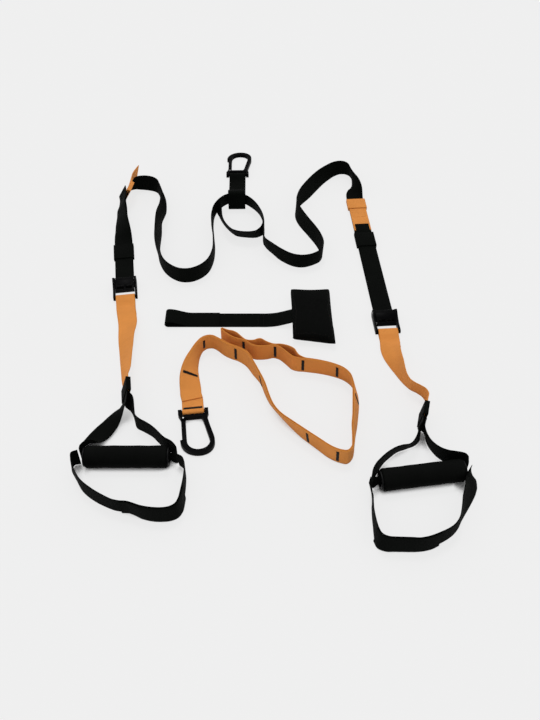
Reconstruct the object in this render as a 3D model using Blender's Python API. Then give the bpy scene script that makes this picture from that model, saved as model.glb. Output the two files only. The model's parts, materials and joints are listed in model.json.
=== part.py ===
"""Suspension trainer laid out on a floor: strap, buckles, handles, door pad, extension strap.

Metres, +Z up, +Y towards the hanging end. Webbing is a flat band swept along a route.
Each station of a route has a lean: 0 or 180 lies flat and 90 stands on its edge.
"""

import math

import bmesh
import bpy
from mathutils import Matrix, Vector

# Overall layout
LAYOUT_SPAN = 1.0
GAP = 0.0003

# Webbing
WEB_W = 0.038
WEB_T = 0.0018
WEB_STEP = 0.0115
SIDE_GAP = 0.0008

# Cam buckle, measured along the strap from the handle end
PLATE_T = 0.0042
BUCKLE_LEN = 0.056
BUCKLE_LOW = 0.0105
BUCKLE_HIGH = 0.0205
RISER_BAR_R = 0.003
RISER_BAR_V = 0.0058
STRAP_BAR_R = 0.0032
STRAP_BAR_V = 0.036
CAM_R = 0.0043
CAM_V = 0.0478
CAM_PIN_R = 0.0017
CAM_PRESS_GAP = 0.0009
LEVER_T = 0.0024
LEVER_TIP_V = 0.0172
LEVER_TIP_Z = 0.0078
WINDOW_W = 0.0135
WINDOW_L = 0.0052
WINDOW_V = 0.0265
BRIDGE_W = 0.0036
SPRING_WIRE_R = 0.00045
SPRING_LEAST_GAP = 0.0004
SPRING_NOTCH = 0.0085
SPRING_TURNS = 4
BUCKLE_RUN = 0.078

# Keepers and adjuster tabs
KEEPER_LEN = 0.046
BAND_LEN = 0.034
TAIL_TIP = 0.019
TAIL_POINT = 0.006
TAIL_RISE = 0.008
EAR_OUT = 0.008
STRAP_LIFT = 0.003
TAB_PULL = 0.064
TAB_TURN = -7
TAB_OUT = 0.004
TAB_ROLL = -14
LEFT_KEEPER_V = 0.150
RIGHT_KEEPER_V = 0.288
RIGHT_BAND_V = 0.418

# Carabiner, measured from the bar that the webbing goes round
CLIP_T = 0.009
CLIP_BAR_R = 0.0034
CLIP_EAR_W = 0.053
CLIP_SLOT_L = 0.0048
CLIP_CROSS_L = 0.006
CLIP_REACH = 0.0925
CLIP_SPINE_U = 0.0335
CLIP_NOSE_U = 0.0255
CLIP_GATE_U = 0.022
CLIP_ROD = 0.008
GATE_PIN_R = 0.0015
GATE_TONGUE_T = 0.0042
GATE_TIP_GAP = 0.0005
CLIP_BEVEL = 0.0016

# Anchor tab
TAB_LEN = 0.111
TAB_FRONT = 0.019
TAB_CREST = 0.0405
TAB_SEAM_V = 0.080

# Handles
GRIP_LEN = 0.135
FOAM_R = 0.0188
TUBE_R = 0.013
TUBE_WALL = 0.0022
CAP_R = 0.0165
CAP_T = 0.0026
CORE_W = 0.019
CORE_T = 0.0038
CORNER_NEAR = 0.0051
CORNER_FAR = 0.0125
WRAP_LEN = 0.030
WRAP_T = 0.001
PATCH_LEN = 0.054

# Door anchor
PAD_W = 0.082
PAD_L = 0.145
PAD_T = 0.026
PAD_SEAM_T = 0.004
DOOR_STRAP_LEN = 0.248
DOOR_LOOP_R = 0.006
DOOR_LOOP_LEN = 0.050
DOOR_LAP = 0.105

# Extension strap
POCKET_OUT = 0.022
EXTENSION_SEAM = 0.030

PARTS = []


def clear_scene():
    for obj in list(bpy.data.objects):
        bpy.data.objects.remove(obj, do_unlink=True)


def make_material(name, colour, roughness, metallic=0.0):
    mat = bpy.data.materials.new(name)
    mat.use_nodes = True
    shader = mat.node_tree.nodes["Principled BSDF"]
    shader.inputs["Base Color"].default_value = (*colour, 1.0)
    shader.inputs["Roughness"].default_value = roughness
    shader.inputs["Metallic"].default_value = metallic
    return mat


def add_object(name, bm, mat, origin=None, smooth=None, frame=None):
    """Turns geometry into an object whose origin is where it pivots.

    With a frame, the geometry and the origin are given in that frame.
    """
    if frame is not None:
        bm.transform(frame)
        origin = frame @ Vector(origin or (0.0, 0.0, 0.0))
    bmesh.ops.recalc_face_normals(bm, faces=bm.faces)
    if bm.calc_volume(signed=True) < 0:
        bmesh.ops.reverse_faces(bm, faces=bm.faces)
    if origin is not None:
        bmesh.ops.translate(bm, verts=bm.verts, vec=-Vector(origin))
    mesh = bpy.data.meshes.new(name)
    bm.to_mesh(mesh)
    bm.free()
    if smooth is not None:
        mesh.shade_smooth()
        mesh.set_sharp_from_angle(angle=math.radians(smooth))
    obj = bpy.data.objects.new(name, mesh)
    bpy.context.collection.objects.link(obj)
    if origin is not None:
        obj.location = origin
    obj.data.materials.append(mat)
    PARTS.append(obj)
    return obj


def box_bm(size, centre):
    bm = bmesh.new()
    bmesh.ops.create_cube(bm, size=1.0)
    bmesh.ops.scale(bm, vec=size, verts=bm.verts)
    bmesh.ops.translate(bm, vec=centre, verts=bm.verts)
    return bm


def rod_bm(radius, length, centre, axis, sides=16):
    """A round bar along X, Y or Z."""
    bm = bmesh.new()
    turn = {"X": Matrix.Rotation(math.pi / 2, 4, "Y"), "Y": Matrix.Rotation(math.pi / 2, 4, "X"),
            "Z": Matrix()}[axis]
    bmesh.ops.create_cone(bm, cap_ends=True, segments=sides, radius1=radius, radius2=radius,
                          depth=length, matrix=Matrix.Translation(centre) @ turn)
    return bm


def outline_bm(points, low, high, plane="XY"):
    """An outline pushed out along the third axis of its plane."""
    place = {"XY": lambda a, b, c: (a, b, c), "YZ": lambda a, b, c: (c, a, b)}[plane]
    bm = bmesh.new()
    face = bm.faces.new([bm.verts.new(place(a, b, low)) for a, b in points])
    out = bmesh.ops.extrude_face_region(bm, geom=[face])
    moved = [v for v in out["geom"] if isinstance(v, bmesh.types.BMVert)]
    bmesh.ops.translate(bm, verts=moved, vec=place(0.0, 0.0, high - low))
    return bm


def combine(base, others, operation):
    """Boolean of bmesh solids, returned as a new bmesh."""
    made = []
    for bm in [base] + others:
        bmesh.ops.recalc_face_normals(bm, faces=bm.faces)
        mesh = bpy.data.meshes.new("operand")
        bm.to_mesh(mesh)
        bm.free()
        obj = bpy.data.objects.new("operand", mesh)
        bpy.context.collection.objects.link(obj)
        made.append(obj)
    for tool in made[1:]:
        mod = made[0].modifiers.new("cut", "BOOLEAN")
        mod.operation = operation
        mod.solver = "EXACT"
        mod.object = tool
        graph = bpy.context.evaluated_depsgraph_get()
        mesh = bpy.data.meshes.new_from_object(made[0].evaluated_get(graph))
        made[0].modifiers.clear()
        made[0].data = mesh
    result = bmesh.new()
    result.from_mesh(made[0].data)
    for obj in made:
        bpy.data.objects.remove(obj, do_unlink=True)
    bmesh.ops.remove_doubles(result, verts=result.verts, dist=GAP / 30)
    return result


# Routes and bands


class Station:
    """One cross-section of a band: its middle, the way its width runs, and its size."""

    def __init__(self, middle, across, width=None, thick=None):
        self.middle = Vector(middle)
        self.across = Vector(across).normalized()
        self.width = WEB_W if width is None else width
        self.thick = WEB_T if thick is None else thick
        self.along = None
        self.normal = None
        self.back = False


def set_frames(stations):
    """Fills in the direction and the normal of every station."""
    count = len(stations)
    for i, st in enumerate(stations):
        after = stations[min(i + 1, count - 1)].middle
        before = stations[max(i - 1, 0)].middle
        st.along = (after - before).normalized()
        st.across = (st.across - st.across.dot(st.along) * st.along).normalized()
        st.normal = st.across.cross(st.along).normalized()
    return stations


def row_slope(rows, i):
    """Change of every column per metre at a row, from the rows on both sides."""
    last = len(rows) - 1
    sides = [(rows[max(i - 1, 0)], rows[min(max(i, 1), last)]),
             (rows[min(i, last - 1)], rows[min(i + 1, last)])]
    spans = [math.dist(a[:2], b[:2]) for a, b in sides]
    rates = [[(q - p) / span for p, q in zip(a, b)] for (a, b), span in zip(sides, spans)]
    total = sum(spans)
    return [(p * spans[1] + q * spans[0]) / total for p, q in zip(*rates)]


def curve_value(rows, i, t):
    """Smooth value between rows i and i + 1, for every column."""
    one, two = rows[i], rows[i + 1]
    span = math.dist(one[:2], two[:2])
    out = []
    for p, q, m, n in zip(one, two, row_slope(rows, i), row_slope(rows, i + 1)):
        out.append(p * (1 + 2 * t) * (1 - t) ** 2 + q * t * t * (3 - 2 * t)
                   + span * (m * t * (1 - t) ** 2 - n * t * t * (1 - t)))
    return out


def lay_route(rows, step=None):
    """Stations along a smooth line through rows of x, y, lean, lift, width share.

    The lowest edge of the band is on the floor, plus the lift.
    """
    step = WEB_STEP if step is None else step
    dense = []
    for i in range(len(rows) - 1):
        for k in range(24):
            dense.append(curve_value(rows, i, k / 24))
    dense.append(list(rows[-1]))
    places = [Vector((row[0], row[1])) for row in dense]
    run = [0.0]
    for before, after in zip(places, places[1:]):
        run.append(run[-1] + (after - before).length)
    count = max(2, round(run[-1] / step))
    stations = []
    k = 0
    for n in range(count + 1):
        want = run[-1] * n / count
        while k < len(run) - 2 and run[k + 1] < want:
            k += 1
        part = (want - run[k]) / max(run[k + 1] - run[k], 1e-12)
        row = [a + (b - a) * part for a, b in zip(dense[k], dense[k + 1])]
        tangent = (places[min(k + 2, len(places) - 1)] - places[max(k - 1, 0)]).normalized()
        lean = math.radians(row[2])
        width = WEB_W * row[4]
        across = Vector((-tangent.y * math.cos(lean), tangent.x * math.cos(lean), math.sin(lean)))
        height = (width * abs(math.sin(lean)) + WEB_T * abs(math.cos(lean))) / 2 + row[3]
        stations.append(Station((row[0], row[1], height), across, width))
    return stations


def band_bm(stations):
    """A closed band through the stations."""
    set_frames(stations)
    bm = bmesh.new()
    rings = []
    for st in stations:
        half = st.across * st.width / 2
        rise = st.normal * st.thick / 2
        rings.append([bm.verts.new(st.middle + a * half + b * rise)
                      for a, b in ((-1, -1), (1, -1), (1, 1), (-1, 1))])
    bm.faces.new(rings[0])
    bm.faces.new(rings[-1])
    for k, (one, two) in enumerate(zip(rings, rings[1:])):
        for low, high in ((0, 1), (3, 2)):
            if stations[k].back and stations[k + 1].back:
                bm.faces.new((one[low], one[high], two[low]))
                bm.faces.new((one[high], two[high], two[low]))
            else:
                bm.faces.new((one[low], one[high], two[high]))
                bm.faces.new((one[low], two[high], two[low]))
        bm.faces.new((one[1], one[2], two[2], two[1]))
        bm.faces.new((one[0], one[3], two[3], two[0]))
    return bm


def run_lengths(stations):
    run = [0.0]
    for before, after in zip(stations, stations[1:]):
        run.append(run[-1] + (after.middle - before.middle).length)
    return run


def station_at(stations, place):
    """The station at a length along the band."""
    run = run_lengths(stations)
    set_frames(stations)
    k = 0
    while k < len(run) - 2 and run[k + 1] < place:
        k += 1
    part = (place - run[k]) / (run[k + 1] - run[k])
    one, two = stations[k], stations[k + 1]
    st = Station(one.middle.lerp(two.middle, part), one.across.lerp(two.across, part),
                 one.width, one.thick)
    st.along = one.along.lerp(two.along, part).normalized()
    st.across = (st.across - st.across.dot(st.along) * st.along).normalized()
    st.normal = st.across.cross(st.along).normalized()
    return st


def wrap_stations(frame, bar_v, bar_z, bar_r, first, last, width=None, steps=7):
    """Stations round a bar that runs along X of the frame, between two angles in degrees."""
    radius = bar_r + GAP + WEB_T / 2
    across = frame.to_3x3() @ Vector((1, 0, 0))
    out = []
    for k in range(steps + 1):
        angle = math.radians(first + (last - first) * k / steps)
        spot = Vector((0.0, bar_v + radius * math.cos(angle), bar_z + radius * math.sin(angle)))
        out.append(Station(frame @ spot, across, width))
    return out


def side_stations(frame, places, width=None):
    """Stations at v, z places of a frame, with the width along its X axis."""
    across = frame.to_3x3() @ Vector((1, 0, 0))
    return [Station(frame @ Vector((0.0, v, z)), across, width) for v, z in places]


def sleeve_bm(station, layers_low, layers_high, length, wall=None):
    """A flat webbing ring round a stack of bands at a station.

    The two values are the stack's lowest and highest face along the station's normal.
    """
    wall = WEB_T if wall is None else wall
    bm = bmesh.new()
    loops = []
    for end in (-1, 1):
        for grow in (0.0, wall):
            half = station.width / 2 + SIDE_GAP / 2 + grow
            low, high = layers_low - GAP - grow, layers_high + GAP + grow
            loops.append([bm.verts.new(station.middle + station.across * a * half
                                       + station.normal * b
                                       + station.along * end * length / 2)
                          for a, b in ((-1, low), (1, low), (1, high), (-1, high))])
    inner_a, outer_a, inner_b, outer_b = loops
    for k in range(4):
        n = (k + 1) % 4
        bm.faces.new((inner_a[k], inner_a[n], inner_b[n], inner_b[k]))
        bm.faces.new((outer_a[k], outer_a[n], outer_b[n], outer_b[k]))
        bm.faces.new((inner_a[k], inner_a[n], outer_a[n], outer_a[k]))
        bm.faces.new((inner_b[k], inner_b[n], outer_b[n], outer_b[k]))
    return bm


def floor_frame(x, y, heading):
    """A frame standing on the floor, with +Y turned by heading degrees."""
    place = Vector((x * LAYOUT_SPAN, y * LAYOUT_SPAN, 0.0))
    return Matrix.Translation(place) @ Matrix.Rotation(math.radians(heading), 4, "Z")


def in_frame(frame, v, lean, lift, u=0.0):
    """A route row at a place of a frame."""
    spot = frame @ Vector((u, v, 0.0))
    return (spot.x, spot.y, lean, lift, 1.0)


def route_rows(shares):
    """Route rows from x, y as shares of the layout, lean in degrees and layers of lift."""
    return [(row[0] * LAYOUT_SPAN, row[1] * LAYOUT_SPAN, row[2],
             (row[3] if len(row) > 3 else 0) * LAYER, 1.0) for row in shares]


clear_scene()

# Derived from the sizes above
LAYER = WEB_T + GAP
LIVE_Z = LAYER + WEB_T / 2
STRAP_BAR_Z = LIVE_Z + WEB_T / 2 + GAP + STRAP_BAR_R
WRAP_R = STRAP_BAR_R + GAP + WEB_T / 2
BUCKLE_IN = WEB_W / 2 + SIDE_GAP
RISER_BAR_Z = WEB_T + GAP * 2 + RISER_BAR_R
RISER_WRAP_R = RISER_BAR_R + GAP + WEB_T / 2
TAIL_TOP_Z = STRAP_BAR_Z + WRAP_R
CAM_STRAP_Z = TAIL_TOP_Z - (TAIL_TOP_Z - LIVE_Z - LAYER) * 0.34
CAM_Z = CAM_STRAP_Z + WEB_T / 2 + CAM_PRESS_GAP + CAM_R
CLIP_BAR_Z = CLIP_BAR_R + GAP + WEB_T + GAP
TUBE_BORE_R = TUBE_R - TUBE_WALL

BLACK_WEB = make_material("black_webbing", (0.012, 0.014, 0.013), 0.85)
ORANGE_WEB = make_material("orange_webbing", (0.70, 0.26, 0.05), 0.85)
BLACK_METAL = make_material("black_coated_metal", (0.02, 0.021, 0.022), 0.4, 0.6)
STEEL = make_material("steel", (0.5, 0.5, 0.5), 0.3, 1.0)
FOAM = make_material("black_foam", (0.015, 0.015, 0.015), 0.9)
PLASTIC = make_material("black_plastic", (0.02, 0.02, 0.02), 0.5)


def strap_bar_places():
    """The top layer's way down from the cam to the lower layer, as v and height."""
    drop = TAIL_TOP_Z - LIVE_Z - LAYER
    end = BUCKLE_RUN - STRAP_BAR_V
    shares = ((0.09, 0.05), (0.28, 0.34), (0.48, 0.68), (0.72, 0.93), (1.0, 1.0))
    return [(STRAP_BAR_V + a * end, TAIL_TOP_Z - b * drop) for a, b in shares]


def build_buckle(side, frame):
    """Frame, cam lever, pin and spring of one cam buckle."""
    plate_shares = ((0.05, 0), (0.93, 0), (1, 0.2), (1, 0.4), (0.96, 0.8), (0.9, 1), (0.8, 1),
                    (0.64, 0.76), (0.36, 0.52), (0.05, 0.52), (0, 0.38), (0, 0.15))
    profile = [(a * BUCKLE_LEN, b * BUCKLE_HIGH) for a, b in plate_shares]
    plates = [outline_bm(profile, s * BUCKLE_IN, s * (BUCKLE_IN + PLATE_T), "YZ")
              for s in (-1, 1)]
    between = 2 * BUCKLE_IN + PLATE_T
    bars = [rod_bm(RISER_BAR_R, between, (0, RISER_BAR_V, RISER_BAR_Z), "X", 16),
            rod_bm(STRAP_BAR_R, between, (0, STRAP_BAR_V, STRAP_BAR_Z), "X", 16)]
    sole = box_bm((between, BUCKLE_LEN * 0.16, WEB_T - GAP),
                  (0, BUCKLE_LEN * 0.85, (WEB_T - GAP) / 2 + GAP))
    body = combine(plates[0], [plates[1], sole] + bars, "UNION")
    hole = rod_bm(CAM_PIN_R + GAP, between * 2, (0, CAM_V, CAM_Z), "X", 16)
    body = combine(body, [hole], "DIFFERENCE")
    add_object(side + "_buckle_frame", body, BLACK_METAL, smooth=35, frame=frame)

    lever_half = BUCKLE_IN - GAP * 2
    top = CAM_Z + CAM_R
    run = CAM_V - LEVER_TIP_V
    fall = top - LEVER_TIP_Z - LEVER_T / 2
    upper_shares = ((0.06, 0.0), (0.3, 0.13), (0.48, 0.33), (1.0, 1.0))
    upper = [(CAM_V - a * run, top - b * fall) for a, b in upper_shares]
    lower = [(v + LEVER_T * 0.3, z - LEVER_T) for v, z in reversed(upper)]
    plate = outline_bm(upper + lower, -lever_half, lever_half, "YZ")
    barrel = rod_bm(CAM_R, lever_half * 2, (0, CAM_V, CAM_Z), "X", 20)
    lever = combine(barrel, [plate], "UNION")
    window_u = (WINDOW_W + BRIDGE_W) / 2
    cuts = [box_bm((WINDOW_W, WINDOW_L, BUCKLE_HIGH * 2), (s * window_u, WINDOW_V, BUCKLE_HIGH))
            for s in (-1, 1)]
    notch_r = CAM_PIN_R + GAP * 3 + SPRING_WIRE_R * 2
    cuts.append(box_bm((SPRING_NOTCH, notch_r + CAM_R * 2, notch_r * 2),
                       (0, CAM_V - notch_r / 2 + CAM_R, CAM_Z)))
    cuts.append(rod_bm(CAM_PIN_R + GAP, between * 2, (0, CAM_V, CAM_Z), "X", 16))
    lever = combine(lever, cuts, "DIFFERENCE")
    pivot = (0, CAM_V, CAM_Z)
    add_object(side + "_cam_lever", lever, BLACK_METAL, origin=pivot, smooth=35, frame=frame)

    pin = rod_bm(CAM_PIN_R, (BUCKLE_IN + PLATE_T) * 2, (0, CAM_V, CAM_Z), "X", 16)
    add_object(side + "_cam_pin", pin, STEEL, origin=pivot, smooth=35, frame=frame)
    build_spring(side, frame)


def build_spring(side, frame):
    """The torsion spring that turns the cam down onto the strap."""
    coil_r = CAM_PIN_R + GAP + SPRING_WIRE_R
    pitch = (SPRING_NOTCH - SPRING_WIRE_R * 6) / SPRING_TURNS
    per_turn = 10
    curve = bpy.data.curves.new(side + "_cam_spring", "CURVE")
    curve.dimensions = "3D"
    curve.bevel_depth = SPRING_WIRE_R
    curve.bevel_resolution = 1
    curve.use_fill_caps = True
    line = curve.splines.new("POLY")
    count = SPRING_TURNS * per_turn + 1
    line.points.add(count - 1)
    for k in range(count):
        angle = 2 * math.pi * k / per_turn
        u = (k / per_turn - SPRING_TURNS / 2) * pitch
        spot = frame @ Vector((u, CAM_V + coil_r * math.cos(angle),
                               CAM_Z + coil_r * math.sin(angle)))
        line.points[k].co = (*spot, 1.0)
    least = min((Vector(line.points[k].co[:3]) - Vector(line.points[n].co[:3])).length
                for k in range(count) for n in range(k + per_turn // 2, count))
    print(side, "spring least gap", round(least - SPRING_WIRE_R * 2, 6), "over", SPRING_LEAST_GAP)
    obj = bpy.data.objects.new(side + "_cam_spring", curve)
    bpy.context.collection.objects.link(obj)
    curve.materials.append(STEEL)
    PARTS.append(obj)


def build_carabiner(name, frame):
    """Body, gate and gate pin; the frame's Y runs from the bar to the bow."""
    ear = CLIP_EAR_W / 2
    low = CLIP_BAR_R + GAP * 2
    slot_end = CLIP_BAR_R + CLIP_SLOT_L
    cross_end = slot_end + CLIP_CROSS_L
    inner_shares = ((-0.42, 0.735), (-0.36, 0.805), (-0.21, 0.87), (0.015, 0.908),
                    (0.24, 0.91), (0.46, 0.892), (0.64, 0.843), (0.745, 0.773), (0.75, 0.703),
                    (0.70, 0.616), (0.64, 0.519), (0.55, 0.357), (0.475, 0.216))
    outer_shares = ((0.70, 0.157), (0.78, 0.324), (0.895, 0.519), (0.985, 0.649), (1.0, 0.735),
                    (0.95, 0.832), (0.79, 0.921), (0.54, 0.978), (0.24, 1.0), (-0.06, 0.989),
                    (-0.36, 0.946), (-0.60, 0.865), (-0.72, 0.773))
    spine = [(a * CLIP_SPINE_U, b * CLIP_REACH) for a, b in outer_shares]
    inner = [(a * CLIP_SPINE_U, b * CLIP_REACH) for a, b in inner_shares]
    tip_v = CLIP_REACH * 0.665
    gate_in = CLIP_GATE_U - CLIP_ROD
    hinge_v = cross_end
    base_top = cross_end + CLIP_ROD / 2
    outline = [(ear, -low), (ear, slot_end * 0.8)] + spine
    outline += [(-CLIP_NOSE_U, tip_v + CLIP_ROD / 2), (-CLIP_NOSE_U, tip_v + CLIP_ROD / 8),
                (-CLIP_GATE_U, tip_v), (-gate_in, tip_v)] + inner
    outline += [(gate_in * 0.95, cross_end), (-gate_in, cross_end), (-gate_in, base_top),
                (-CLIP_GATE_U, base_top), (-CLIP_GATE_U - GAP * 3, cross_end),
                (-ear, slot_end * 0.8), (-ear, -low)]
    body = outline_bm(outline, -CLIP_T / 2, CLIP_T / 2, "XY")
    half_slot = WEB_W / 2 + SIDE_GAP
    slot = box_bm((half_slot * 2, slot_end + low * 3, CLIP_T * 2),
                  (0, (slot_end - low * 3) / 2, 0))
    hinge_u = -(CLIP_GATE_U + gate_in) / 2
    clevis = box_bm((CLIP_ROD * 1.4, base_top - slot_end - GAP * 3 + CLIP_ROD,
                     GATE_TONGUE_T + GAP * 2),
                    (hinge_u, (base_top + slot_end + GAP * 3 + CLIP_ROD) / 2, 0))
    hole = rod_bm(GATE_PIN_R + GAP, CLIP_T * 2, (hinge_u, hinge_v, 0), "Z", 12)
    body = combine(body, [slot, clevis, hole], "DIFFERENCE")
    bar = rod_bm(CLIP_BAR_R, half_slot * 2 + CLIP_BAR_R, (0, 0, 0), "X", 16)
    body = combine(body, [bar], "UNION")
    add_object(name + "_body", body, BLACK_METAL, smooth=35, frame=frame)

    gate_low = base_top + CLIP_ROD * 0.28
    gate_t = CLIP_T - GAP * 3
    bar_top = tip_v - GATE_TIP_GAP
    gate_points = [(-CLIP_GATE_U, gate_low), (-gate_in - GAP, gate_low),
                   (-gate_in - GAP, bar_top), (-CLIP_GATE_U, bar_top)]
    gate = outline_bm(gate_points, -gate_t / 2, gate_t / 2, "XY")
    knuckle_r = CLIP_ROD * 0.42
    tongue = rod_bm(knuckle_r, GATE_TONGUE_T, (hinge_u, hinge_v, 0), "Z", 20)
    neck = box_bm((knuckle_r * 1.9, gate_low - hinge_v + GAP * 3, GATE_TONGUE_T),
                  (hinge_u, (gate_low + hinge_v) / 2 + GAP, 0))
    gate = combine(gate, [tongue, neck], "UNION")
    gate = combine(gate, [rod_bm(GATE_PIN_R + GAP, CLIP_T * 2, (hinge_u, hinge_v, 0), "Z", 12)],
                   "DIFFERENCE")
    pivot = (hinge_u, hinge_v, 0)
    add_object(name + "_gate", gate, BLACK_METAL, origin=pivot, smooth=35, frame=frame)
    pin = rod_bm(GATE_PIN_R, CLIP_T, (hinge_u, hinge_v, 0), "Z", 12)
    add_object(name + "_gate_pin", pin, STEEL, origin=pivot, smooth=35, frame=frame)


def clip_frame(base, v, turned=False):
    """A carabiner's frame at a bar on a floor frame; its bow end rests on the floor."""
    tilt = math.asin((CLIP_BAR_Z - CLIP_T / 2 - GAP) / CLIP_REACH)
    place = base @ Matrix.Translation((0, v, CLIP_BAR_Z))
    flip = Matrix.Rotation(math.pi, 4, "Y") if turned else Matrix()
    return place @ Matrix.Rotation(-tilt, 4, "X") @ flip


def clip_wrap(base, v, first, last):
    return wrap_stations(base, v, CLIP_BAR_Z, CLIP_BAR_R, first, last)


# Straps between the two buckles

LEFT_BUCKLE = floor_frame(-0.290, 0.163, 8.5)
RIGHT_BUCKLE = floor_frame(0.2275, 0.066, 4.1)
LEFT_BAND = floor_frame(-0.3285, 0.486, -7.5)
TAB_FRAME = floor_frame(-0.0755, 0.488, 1.0)
BAND_LEAN = 120
LEFT_RISE_SHARES = ((-0.3212, 0.3769, 150, 1.1), (-0.3258, 0.4033, 136, 1.2),
                    (-0.3284, 0.4306, 128, 1.3))
ARC_SHARES = ((-0.3165, 0.5425, 104, 0.6), (-0.300, 0.5475, 88), (-0.280, 0.5455, 83),
              (-0.264, 0.5375, 86), (-0.2535, 0.516, 88), (-0.2487, 0.4885, 73),
              (-0.2462, 0.4656, 50), (-0.2448, 0.4439, 42), (-0.2436, 0.4211, 42),
              (-0.2438, 0.3979, 50), (-0.2440, 0.3753, 58), (-0.2415, 0.3537, 61),
              (-0.2380, 0.3325, 66), (-0.2346, 0.3113, 75), (-0.230, 0.278, 86),
              (-0.218, 0.249, 90), (-0.202, 0.231, 90), (-0.184, 0.2205, 90),
              (-0.166, 0.2195, 90), (-0.147, 0.228, 90), (-0.130, 0.247, 90),
              (-0.1205, 0.279, 90), (-0.1195, 0.321, 87), (-0.1245, 0.369, 85))
RING_SHARES = ((-0.1270, 0.412, 88), (-0.1232, 0.443, 94), (-0.1135, 0.4635, 100, 0.6),
               (-0.102, 0.4765, 104, 1), (-0.0885, 0.4850, 110, 1), (-0.0755, 0.488, 112, 1),
               (-0.062, 0.4840, 109, 1), (-0.050, 0.4755, 106, 0.6), (-0.0375, 0.4635, 105),
               (-0.0272, 0.4465, 104), (-0.0193, 0.425, 100), (-0.0145, 0.401, 94),
               (-0.0130, 0.376, 90))
WAVE_SHARES = ((-0.0142, 0.3433, 92), (-0.0076, 0.3227, 102), (0.0048, 0.3070, 100),
               (0.0174, 0.2918, 96), (0.0307, 0.2794, 96), (0.0446, 0.2698, 96),
               (0.0598, 0.2645, 96), (0.0756, 0.2653, 97), (0.0910, 0.2718, 98),
               (0.1051, 0.2829, 95), (0.1117, 0.3043, 93), (0.1077, 0.3246, 98),
               (0.1013, 0.3438, 100), (0.0932, 0.3620, 102), (0.0844, 0.3798, 102),
               (0.0758, 0.3974, 104), (0.0678, 0.4155, 105), (0.0612, 0.4362, 101),
               (0.0592, 0.4590, 92), (0.0648, 0.4796, 84), (0.0737, 0.4991, 74),
               (0.0842, 0.5173, 66), (0.0951, 0.5362, 64), (0.1071, 0.5555, 65),
               (0.1206, 0.5741, 69), (0.1358, 0.5904, 75), (0.1520, 0.6044, 82),
               (0.1700, 0.6105, 92), (0.1830, 0.6060, 98), (0.1900, 0.5926, 102),
               (0.1925, 0.5736, 96), (0.1952, 0.5545, 80), (0.1970, 0.5370, 48, 0.5))


BAND_SHARE = (-0.3285, 0.486)
RING_START_SHARE = (-0.1245, 0.369)
RING_END_SHARE = (-0.0142, 0.3433)
LOOP_START_SHARE = (-0.116, 0.459)
LOOP_END_SHARE = (-0.0130, 0.376)
LOOP_SHARES = ((-0.1122, 0.4460, 80), (-0.1077, 0.4265, 88), (-0.1030, 0.4060, 101),
               (-0.0960, 0.3890, 110),
               (-0.0870, 0.3740, 116), (-0.0755, 0.3625, 121), (-0.0595, 0.3580, 123),
               (-0.0470, 0.3565, 122), (-0.0320, 0.3575, 118), (-0.0225, 0.3640, 107))


def split_at(stations, places):
    """Cuts a list of stations at lengths along it, leaving a small gap at each cut."""
    pieces = []
    run = run_lengths(stations)
    marks = [0.0] + list(places) + [run[-1]]
    for start, end in zip(marks, marks[1:]):
        first = station_at(stations, start + (GAP if start else 0.0))
        last = station_at(stations, end - (GAP if end < run[-1] else 0.0))
        inside = [st for st, r in zip(stations, run) if start + GAP * 8 < r < end - GAP * 8]
        pieces.append([first] + inside + [last])
    return pieces


def nearest_run(stations, x, y):
    """The length along the band nearest to a share of the layout."""
    run = run_lengths(stations)
    spot = Vector((x * LAYOUT_SPAN, y * LAYOUT_SPAN))
    gaps = [(st.middle.to_2d() - spot).length for st in stations]
    return run[gaps.index(min(gaps))]


def ply(stations, start, end, rise):
    """Stations of a layer beside the first, between the stations nearest to two lengths.

    Rise is a function of the length along the first layer.
    """
    run = run_lengths(stations)
    first = min(run, key=lambda mark: abs(mark - start))
    last = min(run, key=lambda mark: abs(mark - end))
    set_frames(stations)
    return [Station(st.middle + st.normal * rise(mark), st.across, st.width, st.thick)
            for st, mark in zip(stations, run) if first <= mark <= last]


def turn_back(stations):
    """The same stations in the other order, cut into triangles as the layer beside them."""
    for st in stations:
        st.back = True
    return stations[::-1]


def ramp(value, start, end):
    return min(1.0, max(0.0, (value - start) / (end - start)))


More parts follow.
